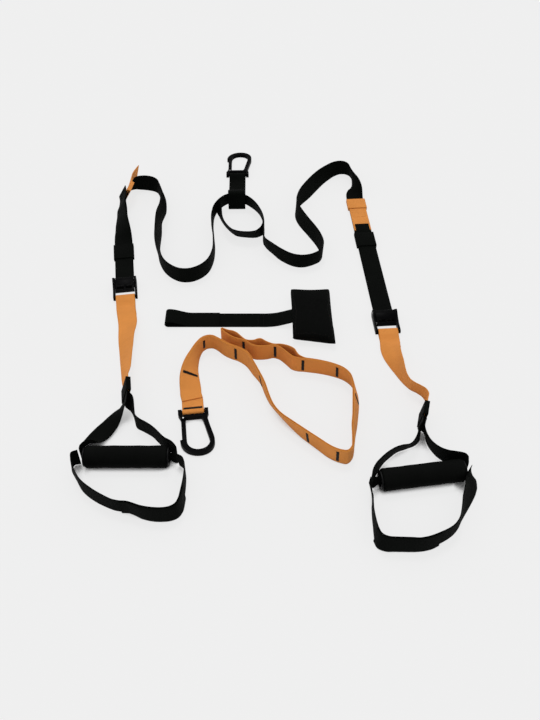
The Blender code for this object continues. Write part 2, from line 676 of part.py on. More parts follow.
def build_main_strap():
    """The black strap, with both ends round their buckles and back beside themselves."""
    lift = LAYER
    live_left = side_stations(LEFT_BUCKLE, [(STRAP_BAR_V + a * (BUCKLE_RUN - STRAP_BAR_V), LIVE_Z)
                                            for a in (0.25, 0.5, 0.75)])
    straight_end = LEFT_KEEPER_V + KEEPER_LEN * 0.75
    keeper_top = LEFT_KEEPER_V + KEEPER_LEN * 0.6
    rows = [in_frame(LEFT_BUCKLE, BUCKLE_RUN, 180, lift),
            in_frame(LEFT_BUCKLE, (BUCKLE_RUN + straight_end) / 2, 180, lift),
            in_frame(LEFT_BUCKLE, keeper_top, 180, lift),
            in_frame(LEFT_BUCKLE, straight_end, 180, lift)]
    rows += route_rows(LEFT_RISE_SHARES)
    rows += [in_frame(LEFT_BAND, -BAND_LEN * 0.8, BAND_LEAN + 2, STRAP_LIFT),
             in_frame(LEFT_BAND, -BAND_LEN * 0.2, BAND_LEAN, STRAP_LIFT),
             in_frame(LEFT_BAND, BAND_LEN / 2, BAND_LEAN, STRAP_LIFT),
             in_frame(LEFT_BAND, BAND_LEN * 1.05, BAND_LEAN, STRAP_LIFT),
             in_frame(LEFT_BAND, BAND_LEN * 1.15, BAND_LEAN, STRAP_LIFT)]
    rows += route_rows(ARC_SHARES + RING_SHARES + WAVE_SHARES)
    right_end = RIGHT_BAND_V + BAND_LEN * 0.92
    rows += [in_frame(RIGHT_BUCKLE, right_end, 0, lift),
             in_frame(RIGHT_BUCKLE, RIGHT_BAND_V + BAND_LEN * 0.82, 0, lift),
             in_frame(RIGHT_BUCKLE, right_end * 0.75, 0, lift),
             in_frame(RIGHT_BUCKLE, right_end * 0.5, 0, lift),
             in_frame(RIGHT_BUCKLE, BUCKLE_RUN, 0, lift)]
    route = lay_route(rows)
    live_right = side_stations(RIGHT_BUCKLE,
                               [(STRAP_BAR_V + a * (BUCKLE_RUN - STRAP_BAR_V), LIVE_Z)
                                for a in (0.75, 0.5, 0.25)])

    # The left tail leaves the top of its buckle and ends beside the orange tab.
    tab_start = nearest_run(route, *BAND_SHARE) - BAND_LEN * 0.12
    tail_end = tab_start + TAIL_TIP * 0.62
    lift_at = tab_start - TAIL_RISE

    def left_rise(run):
        flare = ramp(run, tab_start, tail_end) * EAR_OUT
        loose = GAP * 2 * ramp(run, straight_end - BUCKLE_RUN, straight_end)
        return loose + LAYER * (1 + ramp(run, lift_at - TAIL_RISE, lift_at)) + flare

    left_tail = ply(route, GAP * 10, tail_end, left_rise)
    down = side_stations(LEFT_BUCKLE, strap_bar_places())
    wrap = wrap_stations(LEFT_BUCKLE, STRAP_BAR_V, STRAP_BAR_Z, STRAP_BAR_R, 90, 270)
    left_start = turn_back(left_tail) + down[::-1][1:] + wrap + live_left

    # The right tail runs straight, over the end of the orange tab.
    keeper_end = RIGHT_KEEPER_V + KEEPER_LEN / 2
    ply_start = keeper_end + TAIL_RISE * 1.4
    top = LIVE_Z + LAYER
    wrap_r = wrap_stations(RIGHT_BUCKLE, STRAP_BAR_V, STRAP_BAR_Z, STRAP_BAR_R, 270, 90)
    down_r = side_stations(RIGHT_BUCKLE, strap_bar_places())
    steps = 16
    tail_r = side_stations(RIGHT_BUCKLE,
                           [(BUCKLE_RUN + (keeper_end - BUCKLE_RUN) * k / steps, top)
                            for k in range(1, steps + 1)])
    tail_r += side_stations(RIGHT_BUCKLE,
                            [(keeper_end + TAIL_RISE, top + LAYER),
                             (ply_start + TAIL_TIP - TAIL_POINT, top + LAYER)], WEB_W * 0.8)
    tail_r += side_stations(RIGHT_BUCKLE, [(ply_start + TAIL_TIP, top + LAYER)], WEB_W * 0.4)
    whole = left_start + route + live_right + wrap_r + down_r + tail_r
    set_frames(whole)
    run = run_lengths(whole)
    before = run[len(left_start)]
    cut_a = before + nearest_run(route, *RING_START_SHARE)
    cut_b = before + nearest_run(route, *RING_END_SHARE)
    pieces = split_at(whole, (cut_a, cut_b))
    for name, piece in zip(("main_strap_left", "main_strap_middle", "main_strap_right"), pieces):
        add_object(name, band_bm(piece), BLACK_WEB)
    return route


def build_adjusters(route):
    """Keepers, orange bands and orange tabs on the doubled strap."""
    for side, frame, v in (("left", LEFT_BUCKLE, LEFT_KEEPER_V),
                           ("right", RIGHT_BUCKLE, RIGHT_KEEPER_V)):
        st = set_frames(side_stations(frame, [(v - KEEPER_LEN, LIVE_Z), (v, LIVE_Z),
                                              (v + KEEPER_LEN, LIVE_Z)]))[1]
        keeper = sleeve_bm(st, -WEB_T / 2, LAYER + WEB_T / 2, KEEPER_LEN)
        add_object(side + "_keeper", keeper, BLACK_WEB, origin=st.middle)

    keeper_end = RIGHT_KEEPER_V + KEEPER_LEN / 2
    ply_start = keeper_end + TAIL_RISE * 1.4
    band_end = RIGHT_BAND_V + BAND_LEN / 2
    steps = 8
    tab = side_stations(RIGHT_BUCKLE, [(ply_start + (band_end - ply_start) * k / steps,
                                        LIVE_Z + LAYER) for k in range(steps + 1)])
    add_object("right_adjuster_tab", band_bm(tab), ORANGE_WEB)
    st = set_frames(side_stations(RIGHT_BUCKLE, [(RIGHT_BAND_V - BAND_LEN, LIVE_Z),
                                                 (RIGHT_BAND_V, LIVE_Z),
                                                 (RIGHT_BAND_V + BAND_LEN, LIVE_Z)]))[1]
    add_object("right_adjuster_band", sleeve_bm(st, -WEB_T / 2, LAYER + WEB_T / 2, BAND_LEN),
               ORANGE_WEB)

    middle = nearest_run(route, *BAND_SHARE) + BAND_LEN / 2
    st = station_at(route, middle)
    add_object("left_adjuster_band", sleeve_bm(st, -WEB_T / 2, LAYER + WEB_T / 2, BAND_LEN),
               ORANGE_WEB)
    first = ply(route, middle - BAND_LEN * 0.62, middle + BAND_LEN * 0.55, lambda run: LAYER)
    last = first[-1]
    set_frames(first)
    pull = []
    for k in range(1, 8):
        share = k / 7
        bend = math.radians(TAB_TURN * share)
        way = Matrix.Rotation(bend, 3, "Z") @ last.along
        roll = Matrix.Rotation(math.radians(TAB_ROLL * min(1.0, share * 2)), 3, last.along)
        spot = last.middle + way * TAB_PULL * share + last.normal * TAB_OUT * min(1.0, share * 3)
        pull.append(Station(spot, roll @ last.across, WEB_W))
    add_object("left_adjuster_tab", band_bm(first + pull), ORANGE_WEB)


def build_equaliser(route):
    """The short strap that closes the ring under the anchor tab."""
    start = nearest_run(route, *LOOP_START_SHARE)
    end = nearest_run(route, *LOOP_END_SHARE)
    sewn = WEB_W * 0.45
    side = -LAYER
    first = turn_back(ply(route, start, start + sewn, lambda run: side))
    last = turn_back(ply(route, end - sewn, end, lambda run: side))
    middle = lay_route(route_rows(LOOP_SHARES))
    add_object("equaliser_loop", band_bm(first + middle + last), BLACK_WEB)


def build_anchor():
    """The tab over the ring of strap, and the carabiner on its bar."""
    floor = WEB_T / 2
    upper = floor + LAYER
    crest = TAB_CREST
    front = TAB_FRONT
    bar = TAB_LEN
    bar_low = CLIP_BAR_Z - CLIP_BAR_R - GAP - WEB_T / 2
    near = CLIP_BAR_R + WEB_T + GAP * 2
    lower = [(TAB_SEAM_V - GAP, floor)]
    lower += [(TAB_SEAM_V * a, floor) for a in (0.75, 0.5, 0.25, 0.08, -0.12)]
    bend = [(-front * 0.93, floor + WEB_T * 0.35), (-front * 1.04, floor + WEB_T * 1.7),
            (-front * 1.02, crest * 0.2), (-front * 0.97, crest * 0.58),
            (-front * 0.9, crest * 0.93), (-front * 0.76, crest * 1.03),
            (-front * 0.4, crest * 1.05), (front * 0.12, crest * 0.95),
            (front * 1.1, crest * 0.58), (front * 2.1, crest * 0.28), (front * 2.8, upper * 1.45)]
    over = [(front * 3.3, upper), (TAB_SEAM_V, upper), (TAB_SEAM_V * 1.13, upper),
            (bar - near * 2.6, upper + WEB_T * 0.9), (bar - near, CLIP_BAR_Z + near * 0.66)]
    path = side_stations(TAB_FRAME, lower + bend + over)
    path += clip_wrap(TAB_FRAME, bar, 90, -90)
    path += side_stations(TAB_FRAME, [(bar - near, bar_low), (bar - near * 2.6, floor),
                                      (TAB_SEAM_V * 1.13, floor), (TAB_SEAM_V + GAP, floor)])
    add_object("anchor_tab", band_bm(path), BLACK_WEB)
    build_carabiner("anchor_carabiner", clip_frame(TAB_FRAME, bar))


# Risers and handles

LEFT_HANDLE = floor_frame(-0.2362, -0.2359, 0.0)
RIGHT_HANDLE = floor_frame(0.2461, -0.2722, 8.4)
END = GRIP_LEN / 2 + GAP + CAP_T


def handle_row(frame, u_share, v_share, lean, lift=0.0, width=1.0):
    """A route row at shares of the grip's length from the grip's middle."""
    spot = frame @ Vector((u_share * GRIP_LEN, v_share * GRIP_LEN, 0.0))
    return (spot.x, spot.y, lean, lift, width)


def place_row(frame, u, v, lean, lift=0.0, width=1.0):
    spot = frame @ Vector((u, v, 0.0))
    return (spot.x, spot.y, lean, lift, width)


def build_grip(side, frame):
    """Foam, tube and end caps, which turn together on the strap."""
    axis = frame @ Matrix.Translation((0, 0, FOAM_R))
    foam = rod_bm(FOAM_R, GRIP_LEN, (0, 0, 0), "X", 32)
    foam = combine(foam, [rod_bm(TUBE_R + GAP, GRIP_LEN * 2, (0, 0, 0), "X", 24)],
                   "DIFFERENCE")
    add_object(side + "_foam_grip", foam, FOAM, smooth=35, frame=axis)
    tube = rod_bm(TUBE_R, GRIP_LEN, (0, 0, 0), "X", 24)
    tube = combine(tube, [rod_bm(TUBE_BORE_R, GRIP_LEN * 2, (0, 0, 0), "X", 24)],
                   "DIFFERENCE")
    add_object(side + "_grip_tube", tube, PLASTIC, smooth=35, frame=axis)
    for end, sign in (("left", -1), ("right", 1)):
        centre = (sign * (GRIP_LEN / 2 + GAP + CAP_T / 2), 0, 0)
        cap = rod_bm(CAP_R, CAP_T, centre, "X", 24)
        cap = combine(cap, [rod_bm(TUBE_BORE_R, CAP_T * 3, centre, "X", 24)], "DIFFERENCE")
        add_object(side + "_grip_cap_" + end, cap, PLASTIC, origin=centre, smooth=35,
                   frame=axis)


def corner_rows(frame, sign, out, shares):
    """The strap's way from beside the grip into its bore, at one end."""
    rows = []
    for u, v, lean, width in shares:
        lift = max(0.0, FOAM_R - WEB_W * width / 2)
        rows.append(place_row(frame, sign * (END + out * u), FOAM_R * v, lean, lift, width))
    return rows


def build_riser(side, buckle, shares, apex_rows, inside):
    """The orange strap from the buckle to the handle, with the ply sewn under it."""
    bar_high = RISER_BAR_Z + RISER_WRAP_R
    floor = WEB_T / 2
    step = bar_high - floor - LAYER
    over = side_stations(buckle, [(-PATCH_LEN * 0.09, floor + LAYER + step * 0.66),
                                  (-PATCH_LEN * 0.2, floor + LAYER + step * 0.25)])
    rows = [in_frame(buckle, -PATCH_LEN * 0.33, 0, LAYER),
            in_frame(buckle, -PATCH_LEN * 0.42, 3, LAYER)]
    top = over + lay_route(rows + route_rows(shares) + apex_rows) + inside
    first = (over[1].middle - over[0].middle).length * 1.8
    under = turn_back(ply(top, first, PATCH_LEN,
                          lambda run: LAYER + GAP * ramp(run, PATCH_LEN * 0.3, PATCH_LEN * 0.6)))
    under += side_stations(buckle, [(-PATCH_LEN * 0.14, floor), (-PATCH_LEN * 0.04, floor)])
    wrap = wrap_stations(buckle, RISER_BAR_V, RISER_BAR_Z, RISER_BAR_R, -90, 90)
    add_object(side + "_riser_strap", band_bm(under + wrap + top), ORANGE_WEB)


def build_handle(side, frame, apex, riser_shares, legs, cradle, lining, corners, buckle):
    """Riser, apex wrap, handle strap, grip and foot cradle of one side.

    Apex is x, y, heading and lean of the sewn stack where the riser meets both legs.
    """
    apex_frame = floor_frame(apex[0], apex[1], apex[2])
    lean = apex[3]
    turned = math.radians(lean)
    stack_lift = LAYER * abs(math.cos(turned)) + WRAP_T + GAP * 2

    def apex_row(v, layer, flip):
        """A row in the stack; v runs from the handle towards the riser."""
        by = layer * LAYER
        spot = apex_frame @ Vector((by * math.sin(turned), v, 0.0))
        return (spot.x, spot.y, 180 - lean if flip else lean, stack_lift - by * math.cos(turned),
                1.0)

    def stack(layer, flip, ends):
        """The straight stretch of one ply inside the sewn wrap."""
        return lay_route([apex_row(WRAP_LEN * end, layer, flip) for end in ends], WRAP_LEN)

    inside = stack(0, False, (0.52, -0.35))
    build_riser(side, buckle, riser_shares, [apex_row(WRAP_LEN * 0.75, 0, False)], inside)

    # Handle strap: down one leg, through the grip and up the other leg.
    left_leg, right_leg = legs
    core = CORE_W / WEB_W
    core_lift = FOAM_R - CORE_W / 2
    rows = [apex_row(-WRAP_LEN * 0.74, -1, False)]
    rows += [handle_row(frame, *row) for row in left_leg]
    rows += corner_rows(frame, -1, *corners[0])
    rows += [place_row(frame, share * (END - CAP_T * 3), 0.0, 90, core_lift, core)
             for share in (-1, 0, 1)]
    right = corner_rows(frame, 1, *corners[1])
    right = [handle_row(frame, *row) for row in right_leg] + right
    rows += [(x, y, 180 - tilt, lift, width) for x, y, tilt, lift, width in reversed(right)]
    rows += [apex_row(-WRAP_LEN * 0.74, 1, True)]
    strap = stack(-1, False, (0.4, -0.58)) + lay_route(rows, WEB_STEP * 0.5)
    strap += stack(1, True, (-0.58, 0.4))
    inverse = frame.inverted()
    for st in strap:
        local = inverse @ st.middle
        if abs(local.x) < END and abs(local.y) < FOAM_R / 4:
            st.thick = CORE_T
    add_object(side + "_handle_strap", band_bm(strap), BLACK_WEB)

    sew = set_frames(lay_route([apex_row(WRAP_LEN / 2, 0, False), apex_row(0.0, 0, False),
                                apex_row(-WRAP_LEN / 2, 0, False)], WRAP_LEN / 2))[1]
    wrap = sleeve_bm(sew, -LAYER - WEB_T / 2, LAYER + WEB_T / 2, WRAP_LEN, WRAP_T)
    add_object(side + "_apex_wrap", wrap, BLACK_WEB)

    # Foot cradle: a strap from one end of the grip to the other, with a second ply inside.
    rows = [handle_row(frame, *row) for row in cradle]
    route = lay_route(rows)
    axis_spot = frame @ Vector((0, 0, FOAM_R))
    add_object(side + "_foot_cradle", band_bm(route), BLACK_WEB, origin=axis_spot)
    run = run_lengths(route)[-1]
    inner = ply(route, run * lining[0], run * lining[1], lambda at: -LAYER)
    add_object(side + "_cradle_lining", band_bm(inner), BLACK_WEB, origin=axis_spot)
    build_grip(side, frame)


NEAR_SHARES = ((1.0, 0.74, 82, 1.0), (1.1, 0.36, 90, 1.0), (0.9, 0.07, 90, 0.8),
               (0.25, 0.0, 90, 0.5))
FAR_SHARES = ((0.33, 0.96, 92, 1.0), (0.84, 0.47, 90, 1.0), (1.02, 0.1, 90, 1.0),
              (0.84, -0.13, 90, 0.86), (0.48, -0.07, 90, 0.66), (0.08, 0.0, 90, 0.5))


def build_handles():
    near = (CORNER_NEAR, NEAR_SHARES)
    far = (CORNER_FAR, FAR_SHARES)
    left_leg = ((-0.140, 0.850, 62), (-0.184, 0.770, 50), (-0.232, 0.672, 34),
                (-0.287, 0.576, 19), (-0.357, 0.480, 11), (-0.420, 0.385, 12),
                (-0.475, 0.290, 24), (-0.528, 0.202, 50))
    right_leg = ((-0.046, 0.850, 77), (0.000, 0.739, 84), (0.024, 0.639, 88), (0.055, 0.547, 90),
                 (0.122, 0.493, 94), (0.195, 0.447, 94), (0.264, 0.398, 94), (0.327, 0.335, 92),
                 (0.387, 0.268, 92), (0.446, 0.205, 92))
    cradle = ((-0.577, -0.003, 92), (-0.618, -0.008, 92), (-0.654, -0.036, 88),
              (-0.658, -0.095, 84), (-0.628, -0.180, 88), (-0.582, -0.262, 90),
              (-0.490, -0.408, 90), (-0.355, -0.527, 90), (-0.200, -0.623, 92),
              (-0.030, -0.697, 95), (0.120, -0.712, 96), (0.253, -0.771, 92),
              (0.394, -0.804, 90), (0.545, -0.804, 90), (0.650, -0.772, 88),
              (0.696, -0.700, 86), (0.720, -0.549, 87), (0.732, -0.386, 89),
              (0.730, -0.235, 90), (0.712, -0.130, 90), (0.676, -0.066, 86),
              (0.630, -0.042, 84))
    riser = ((-0.2763, 0.0900, 14, 1), (-0.2725, 0.0439, 33, 0.7), (-0.2692, 0.0183, 41),
             (-0.2662, -0.0063, 48), (-0.2630, -0.0304, 54), (-0.2604, -0.0520, 60))
    build_handle("left", LEFT_HANDLE, (-0.2548, -0.0926, 9.0, 71), riser, (left_leg, right_leg),
                 cradle, (0.44, 0.80), (near, far), LEFT_BUCKLE)

    left_leg = ((0.178, 0.690, 90), (0.129, 0.600, 97), (0.054, 0.512, 84), (-0.051, 0.446, 68),
                (-0.160, 0.424, 71), (-0.266, 0.378, 78), (-0.368, 0.315, 82),
                (-0.463, 0.230, 88))
    right_leg = ((0.225, 0.690, 97), (0.211, 0.605, 100), (0.211, 0.509, 101),
                 (0.232, 0.413, 102), (0.272, 0.328, 100), (0.326, 0.262, 97),
                 (0.390, 0.215, 93), (0.470, 0.180, 90))
    cradle = ((-0.630, -0.024, 98), (-0.648, -0.075, 104), (-0.656, -0.140, 104),
              (-0.664, -0.200, 98), (-0.676, -0.275, 92), (-0.694, -0.361, 92),
              (-0.712, -0.468, 92), (-0.722, -0.576, 90), (-0.730, -0.690, 86),
              (-0.712, -0.780, 84), (-0.637, -0.834, 86), (-0.519, -0.856, 88),
              (-0.399, -0.878, 88), (-0.277, -0.896, 90), (-0.154, -0.888, 88),
              (-0.024, -0.850, 90), (0.105, -0.800, 91), (0.216, -0.715, 88),
              (0.300, -0.589, 82), (0.382, -0.456, 70), (0.470, -0.329, 62), (0.545, -0.200, 54),
              (0.592, -0.100, 58), (0.600, -0.045, 74), (0.577, -0.010, 90))
    riser = ((0.2272, 0.0330, 13, 1), (0.2268, 0.0101, 33, 0.8), (0.2306, -0.0128, 55, 0.2),
             (0.2362, -0.0354, 72), (0.2418, -0.0578, 89), (0.2509, -0.0775, 103),
             (0.2635, -0.0880, 106), (0.2735, -0.0990, 100), (0.2755, -0.1120, 90))
    build_handle("right", RIGHT_HANDLE, (0.2645, -0.1472, -14.0, 82), riser,
                 (left_leg, right_leg), cradle, (0.27, 0.56), (far, near), RIGHT_BUCKLE)


# Door anchor and extension strap

PAD_FRAME = floor_frame(0.0815, 0.1105, 0.0)
DOOR_END = floor_frame(-0.204, 0.106, -90.0)
EXTENSION_CLIP = floor_frame(-0.1345, -0.130, 187.0)


def build_door_anchor():
    """The padded end that stays behind the door, and its strap with an end loop."""
    across, along = 12, 16
    corner_shares = ((-0.46, -0.455), (0.5, -0.52), (0.47, 0.5), (-0.45, 0.5))
    corners = [Vector((a * PAD_W, b * PAD_L)) for a, b in corner_shares]
    bm = bmesh.new()
    sheets = []
    for face in (1, -1):
        rows = []
        for j in range(along + 1):
            row = []
            for i in range(across + 1):
                a, b = i / across, j / along
                low = corners[0].lerp(corners[1], a)
                high = corners[3].lerp(corners[2], a)
                spot = low.lerp(high, b)
                inward = 0.03 * (math.sin(math.pi * a) + math.sin(math.pi * b))
                centre = Vector((0.0, 0.0))
                edge = max(abs(2 * a - 1), abs(2 * b - 1))
                spot = spot.lerp(centre, inward * edge ** 6)
                fill = ((1 - (2 * a - 1) ** 4) * (1 - (2 * b - 1) ** 4)) ** 0.5
                height = PAD_SEAM_T / 2 + (PAD_T - PAD_SEAM_T) / 2 * fill
                z = PAD_T / 2 + face * height
                row.append(bm.verts.new(PAD_FRAME @ Vector((spot.x, spot.y, max(z, 0.0)))))
            rows.append(row)
        for j in range(along):
            for i in range(across):
                bm.faces.new((rows[j][i], rows[j][i + 1], rows[j + 1][i + 1], rows[j + 1][i]))
        sheets.append(rows)
    top, base = sheets
    rim = [(0, i) for i in range(across)] + [(j, across) for j in range(along)]
    rim += [(along, i) for i in range(across, 0, -1)] + [(j, 0) for j in range(along, 0, -1)]
    for k, one in enumerate(rim):
        two = rim[(k + 1) % len(rim)]
        bm.faces.new((top[one[0]][one[1]], top[two[0]][two[1]], base[two[0]][two[1]],
                      base[one[0]][one[1]]))
    add_object("door_anchor_pad", bm, BLACK_WEB, smooth=40)

    floor = WEB_T / 2
    length = DOOR_STRAP_LEN
    seam_z = PAD_T / 2
    loop_r = DOOR_LOOP_R
    places = [(length, seam_z), (length - WEB_W * 0.3, seam_z * 0.7),
              (length - WEB_W * 0.8, seam_z * 0.25), (length - WEB_W * 1.3, floor)]
    steps = 12
    first = length - WEB_W * 1.3
    places += [(first + (loop_r - first) * k / steps, floor) for k in range(1, steps + 1)]
    for k in range(1, 8):
        angle = math.radians(-90 - 180 * k / 8)
        places.append((loop_r + loop_r * math.cos(angle), floor + loop_r
                       + loop_r * math.sin(angle)))
    high = floor + 2 * loop_r
    lap = floor + LAYER
    for k in range(0, 6):
        share = k / 5
        fall = share * share * (3 - 2 * share)
        places.append((loop_r + (DOOR_LOOP_LEN - loop_r) * share, high + (lap - high) * fall))
    places += [(DOOR_LOOP_LEN + (DOOR_LAP - DOOR_LOOP_LEN) * k / 5, lap) for k in range(1, 6)]
    add_object("door_anchor_strap", band_bm(side_stations(DOOR_END, places)), BLACK_WEB)


EXTENSION_SHARES = ((-0.1403, -0.0938, 2, 1), (-0.1432, -0.0753, 8, 1),
                    (-0.1460, -0.0555, 27, 0.7), (-0.1450, -0.0309, 54, 0.2), (-0.1400, -0.0089, 74),
                    (-0.1335, 0.0120, 86), (-0.1235, 0.0270, 94), (-0.1110, 0.0310, 96),
                    (-0.0970, 0.0240, 94), (-0.0850, 0.0135, 90), (-0.072, 0.0050, 90),
                    (-0.057, -0.0020, 90), (-0.043, -0.013, 88), (-0.0285, -0.0385, 92),
                    (-0.0162, -0.0621, 98), (-0.0079, -0.0861, 95), (-0.0001, -0.1095, 100),
                    (0.0102, -0.1311, 110), (0.0229, -0.1499, 112), (0.0376, -0.1668, 106),
                    (0.0528, -0.1824, 101), (0.0681, -0.1965, 99), (0.0832, -0.2101, 97),
                    (0.0983, -0.2236, 95), (0.1140, -0.2325, 95), (0.1265, -0.2355, 92),
                    (0.1345, -0.2270, 90), (0.1381, -0.2060, 86), (0.1404, -0.1826, 81),
                    (0.1444, -0.1588, 78), (0.1473, -0.1343, 75), (0.1497, -0.1096, 73),
                    (0.1495, -0.0860, 75), (0.1440, -0.0665, 79), (0.1330, -0.0535, 82),
                    (0.118, -0.045, 84), (0.091, -0.036, 86), (0.066, -0.031, 88),
                    (0.043, -0.026, 90), (0.026, -0.008, 88), (0.011, 0.004, 88),
                    (-0.011, 0.001, 90), (-0.031, 0.003, 92), (-0.047, 0.016, 90),
                    (-0.064, 0.022, 90), (-0.080, 0.033, 90), (-0.092, 0.047, 90))
POCKET_SHARES = ((0.064, -0.030, 0.011, 0.004, 0.6), (0.008, 0.004, -0.047, 0.017, 0.8),
                 (-0.050, 0.018, -0.090, 0.044, 0.5))


def build_extension():
    """The orange strap of two layers sewn at intervals, open in pockets near its end."""
    clip = EXTENSION_CLIP
    near = CLIP_BAR_R + WEB_T + GAP * 2
    floor = WEB_T / 2
    seam = -EXTENSION_SEAM
    bar_high = CLIP_BAR_Z + CLIP_BAR_R + GAP + WEB_T / 2
    bar_low = CLIP_BAR_Z - CLIP_BAR_R - GAP - WEB_T / 2
    # The clip's frame has +Y towards the bow, so the strap lies at negative v.
    head = side_stations(clip, [(-near, bar_high * 0.93), (-near * 2.4, floor + LAYER * 1.6),
                                (seam * 0.75, floor + LAYER)])
    rows = [in_frame(clip, seam, 0, LAYER)]
    rows += route_rows(EXTENSION_SHARES)
    route = lay_route(rows)
    wrap = clip_wrap(clip, 0.0, 90, -90)
    base = wrap[::-1] + head + route
    set_frames(base)

    marks = []
    for x0, y0, x1, y1, share in POCKET_SHARES:
        marks.append((nearest_run(route, x0, y0), nearest_run(route, x1, y1), share))

    def side_rise(run):
        out = 0.0
        for start, end, share in marks:
            if start < run < end:
                out = POCKET_OUT * share * math.sin(math.pi * (run - start) / (end - start)) ** 1.5
        return -LAYER - out

    total = run_lengths(route)[-1]
    second = ply(route, GAP * 4, total, side_rise)
    add_object("extension_strap_outer", band_bm(second), ORANGE_WEB)
    tail = side_stations(clip, [(seam * 0.9, floor), (-near * 1.4, floor)])
    add_object("extension_strap_inner", band_bm(tail + base), ORANGE_WEB)
    build_carabiner("extension_carabiner", clip_frame(clip, 0.0, turned=True))


def recentre():
    """Puts the middle of the whole part's footprint at the origin, with its foot at zero."""
    graph = bpy.context.evaluated_depsgraph_get()
    low = Vector((math.inf,) * 3)
    high = Vector((-math.inf,) * 3)
    for obj in PARTS:
        mesh = obj.evaluated_get(graph).to_mesh()
        for vert in mesh.vertices:
            spot = obj.matrix_world @ vert.co
            low = Vector(map(min, low, spot))
            high = Vector(map(max, high, spot))
        obj.evaluated_get(graph).to_mesh_clear()
    shift = Vector((-(low.x + high.x) / 2, -(low.y + high.y) / 2, -low.z))
    for obj in PARTS:
        obj.location += shift
    print("footprint", [round(v, 4) for v in high - low], "shift", [round(v, 5) for v in shift])


build_buckle("left", LEFT_BUCKLE)
build_buckle("right", RIGHT_BUCKLE)
ROUTE = build_main_strap()
build_adjusters(ROUTE)
build_equaliser(ROUTE)
build_anchor()
build_handles()
build_door_anchor()
build_extension()
bpy.context.view_layer.update()
recentre()
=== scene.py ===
"""Looks for a suspension trainer laid out on a pale floor.

The set has a black webbing strap with two cam buckles, two padded grips with foot cradles, an
anchor carabiner, an orange extension strap with pockets, and a padded door anchor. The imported
model gives every shape its place; this script dresses it.
"""

from __future__ import annotations

import itertools
import json
import logging
import math
from dataclasses import dataclass, field
from enum import Enum
from functools import cached_property
from typing import Any, Iterable, Optional

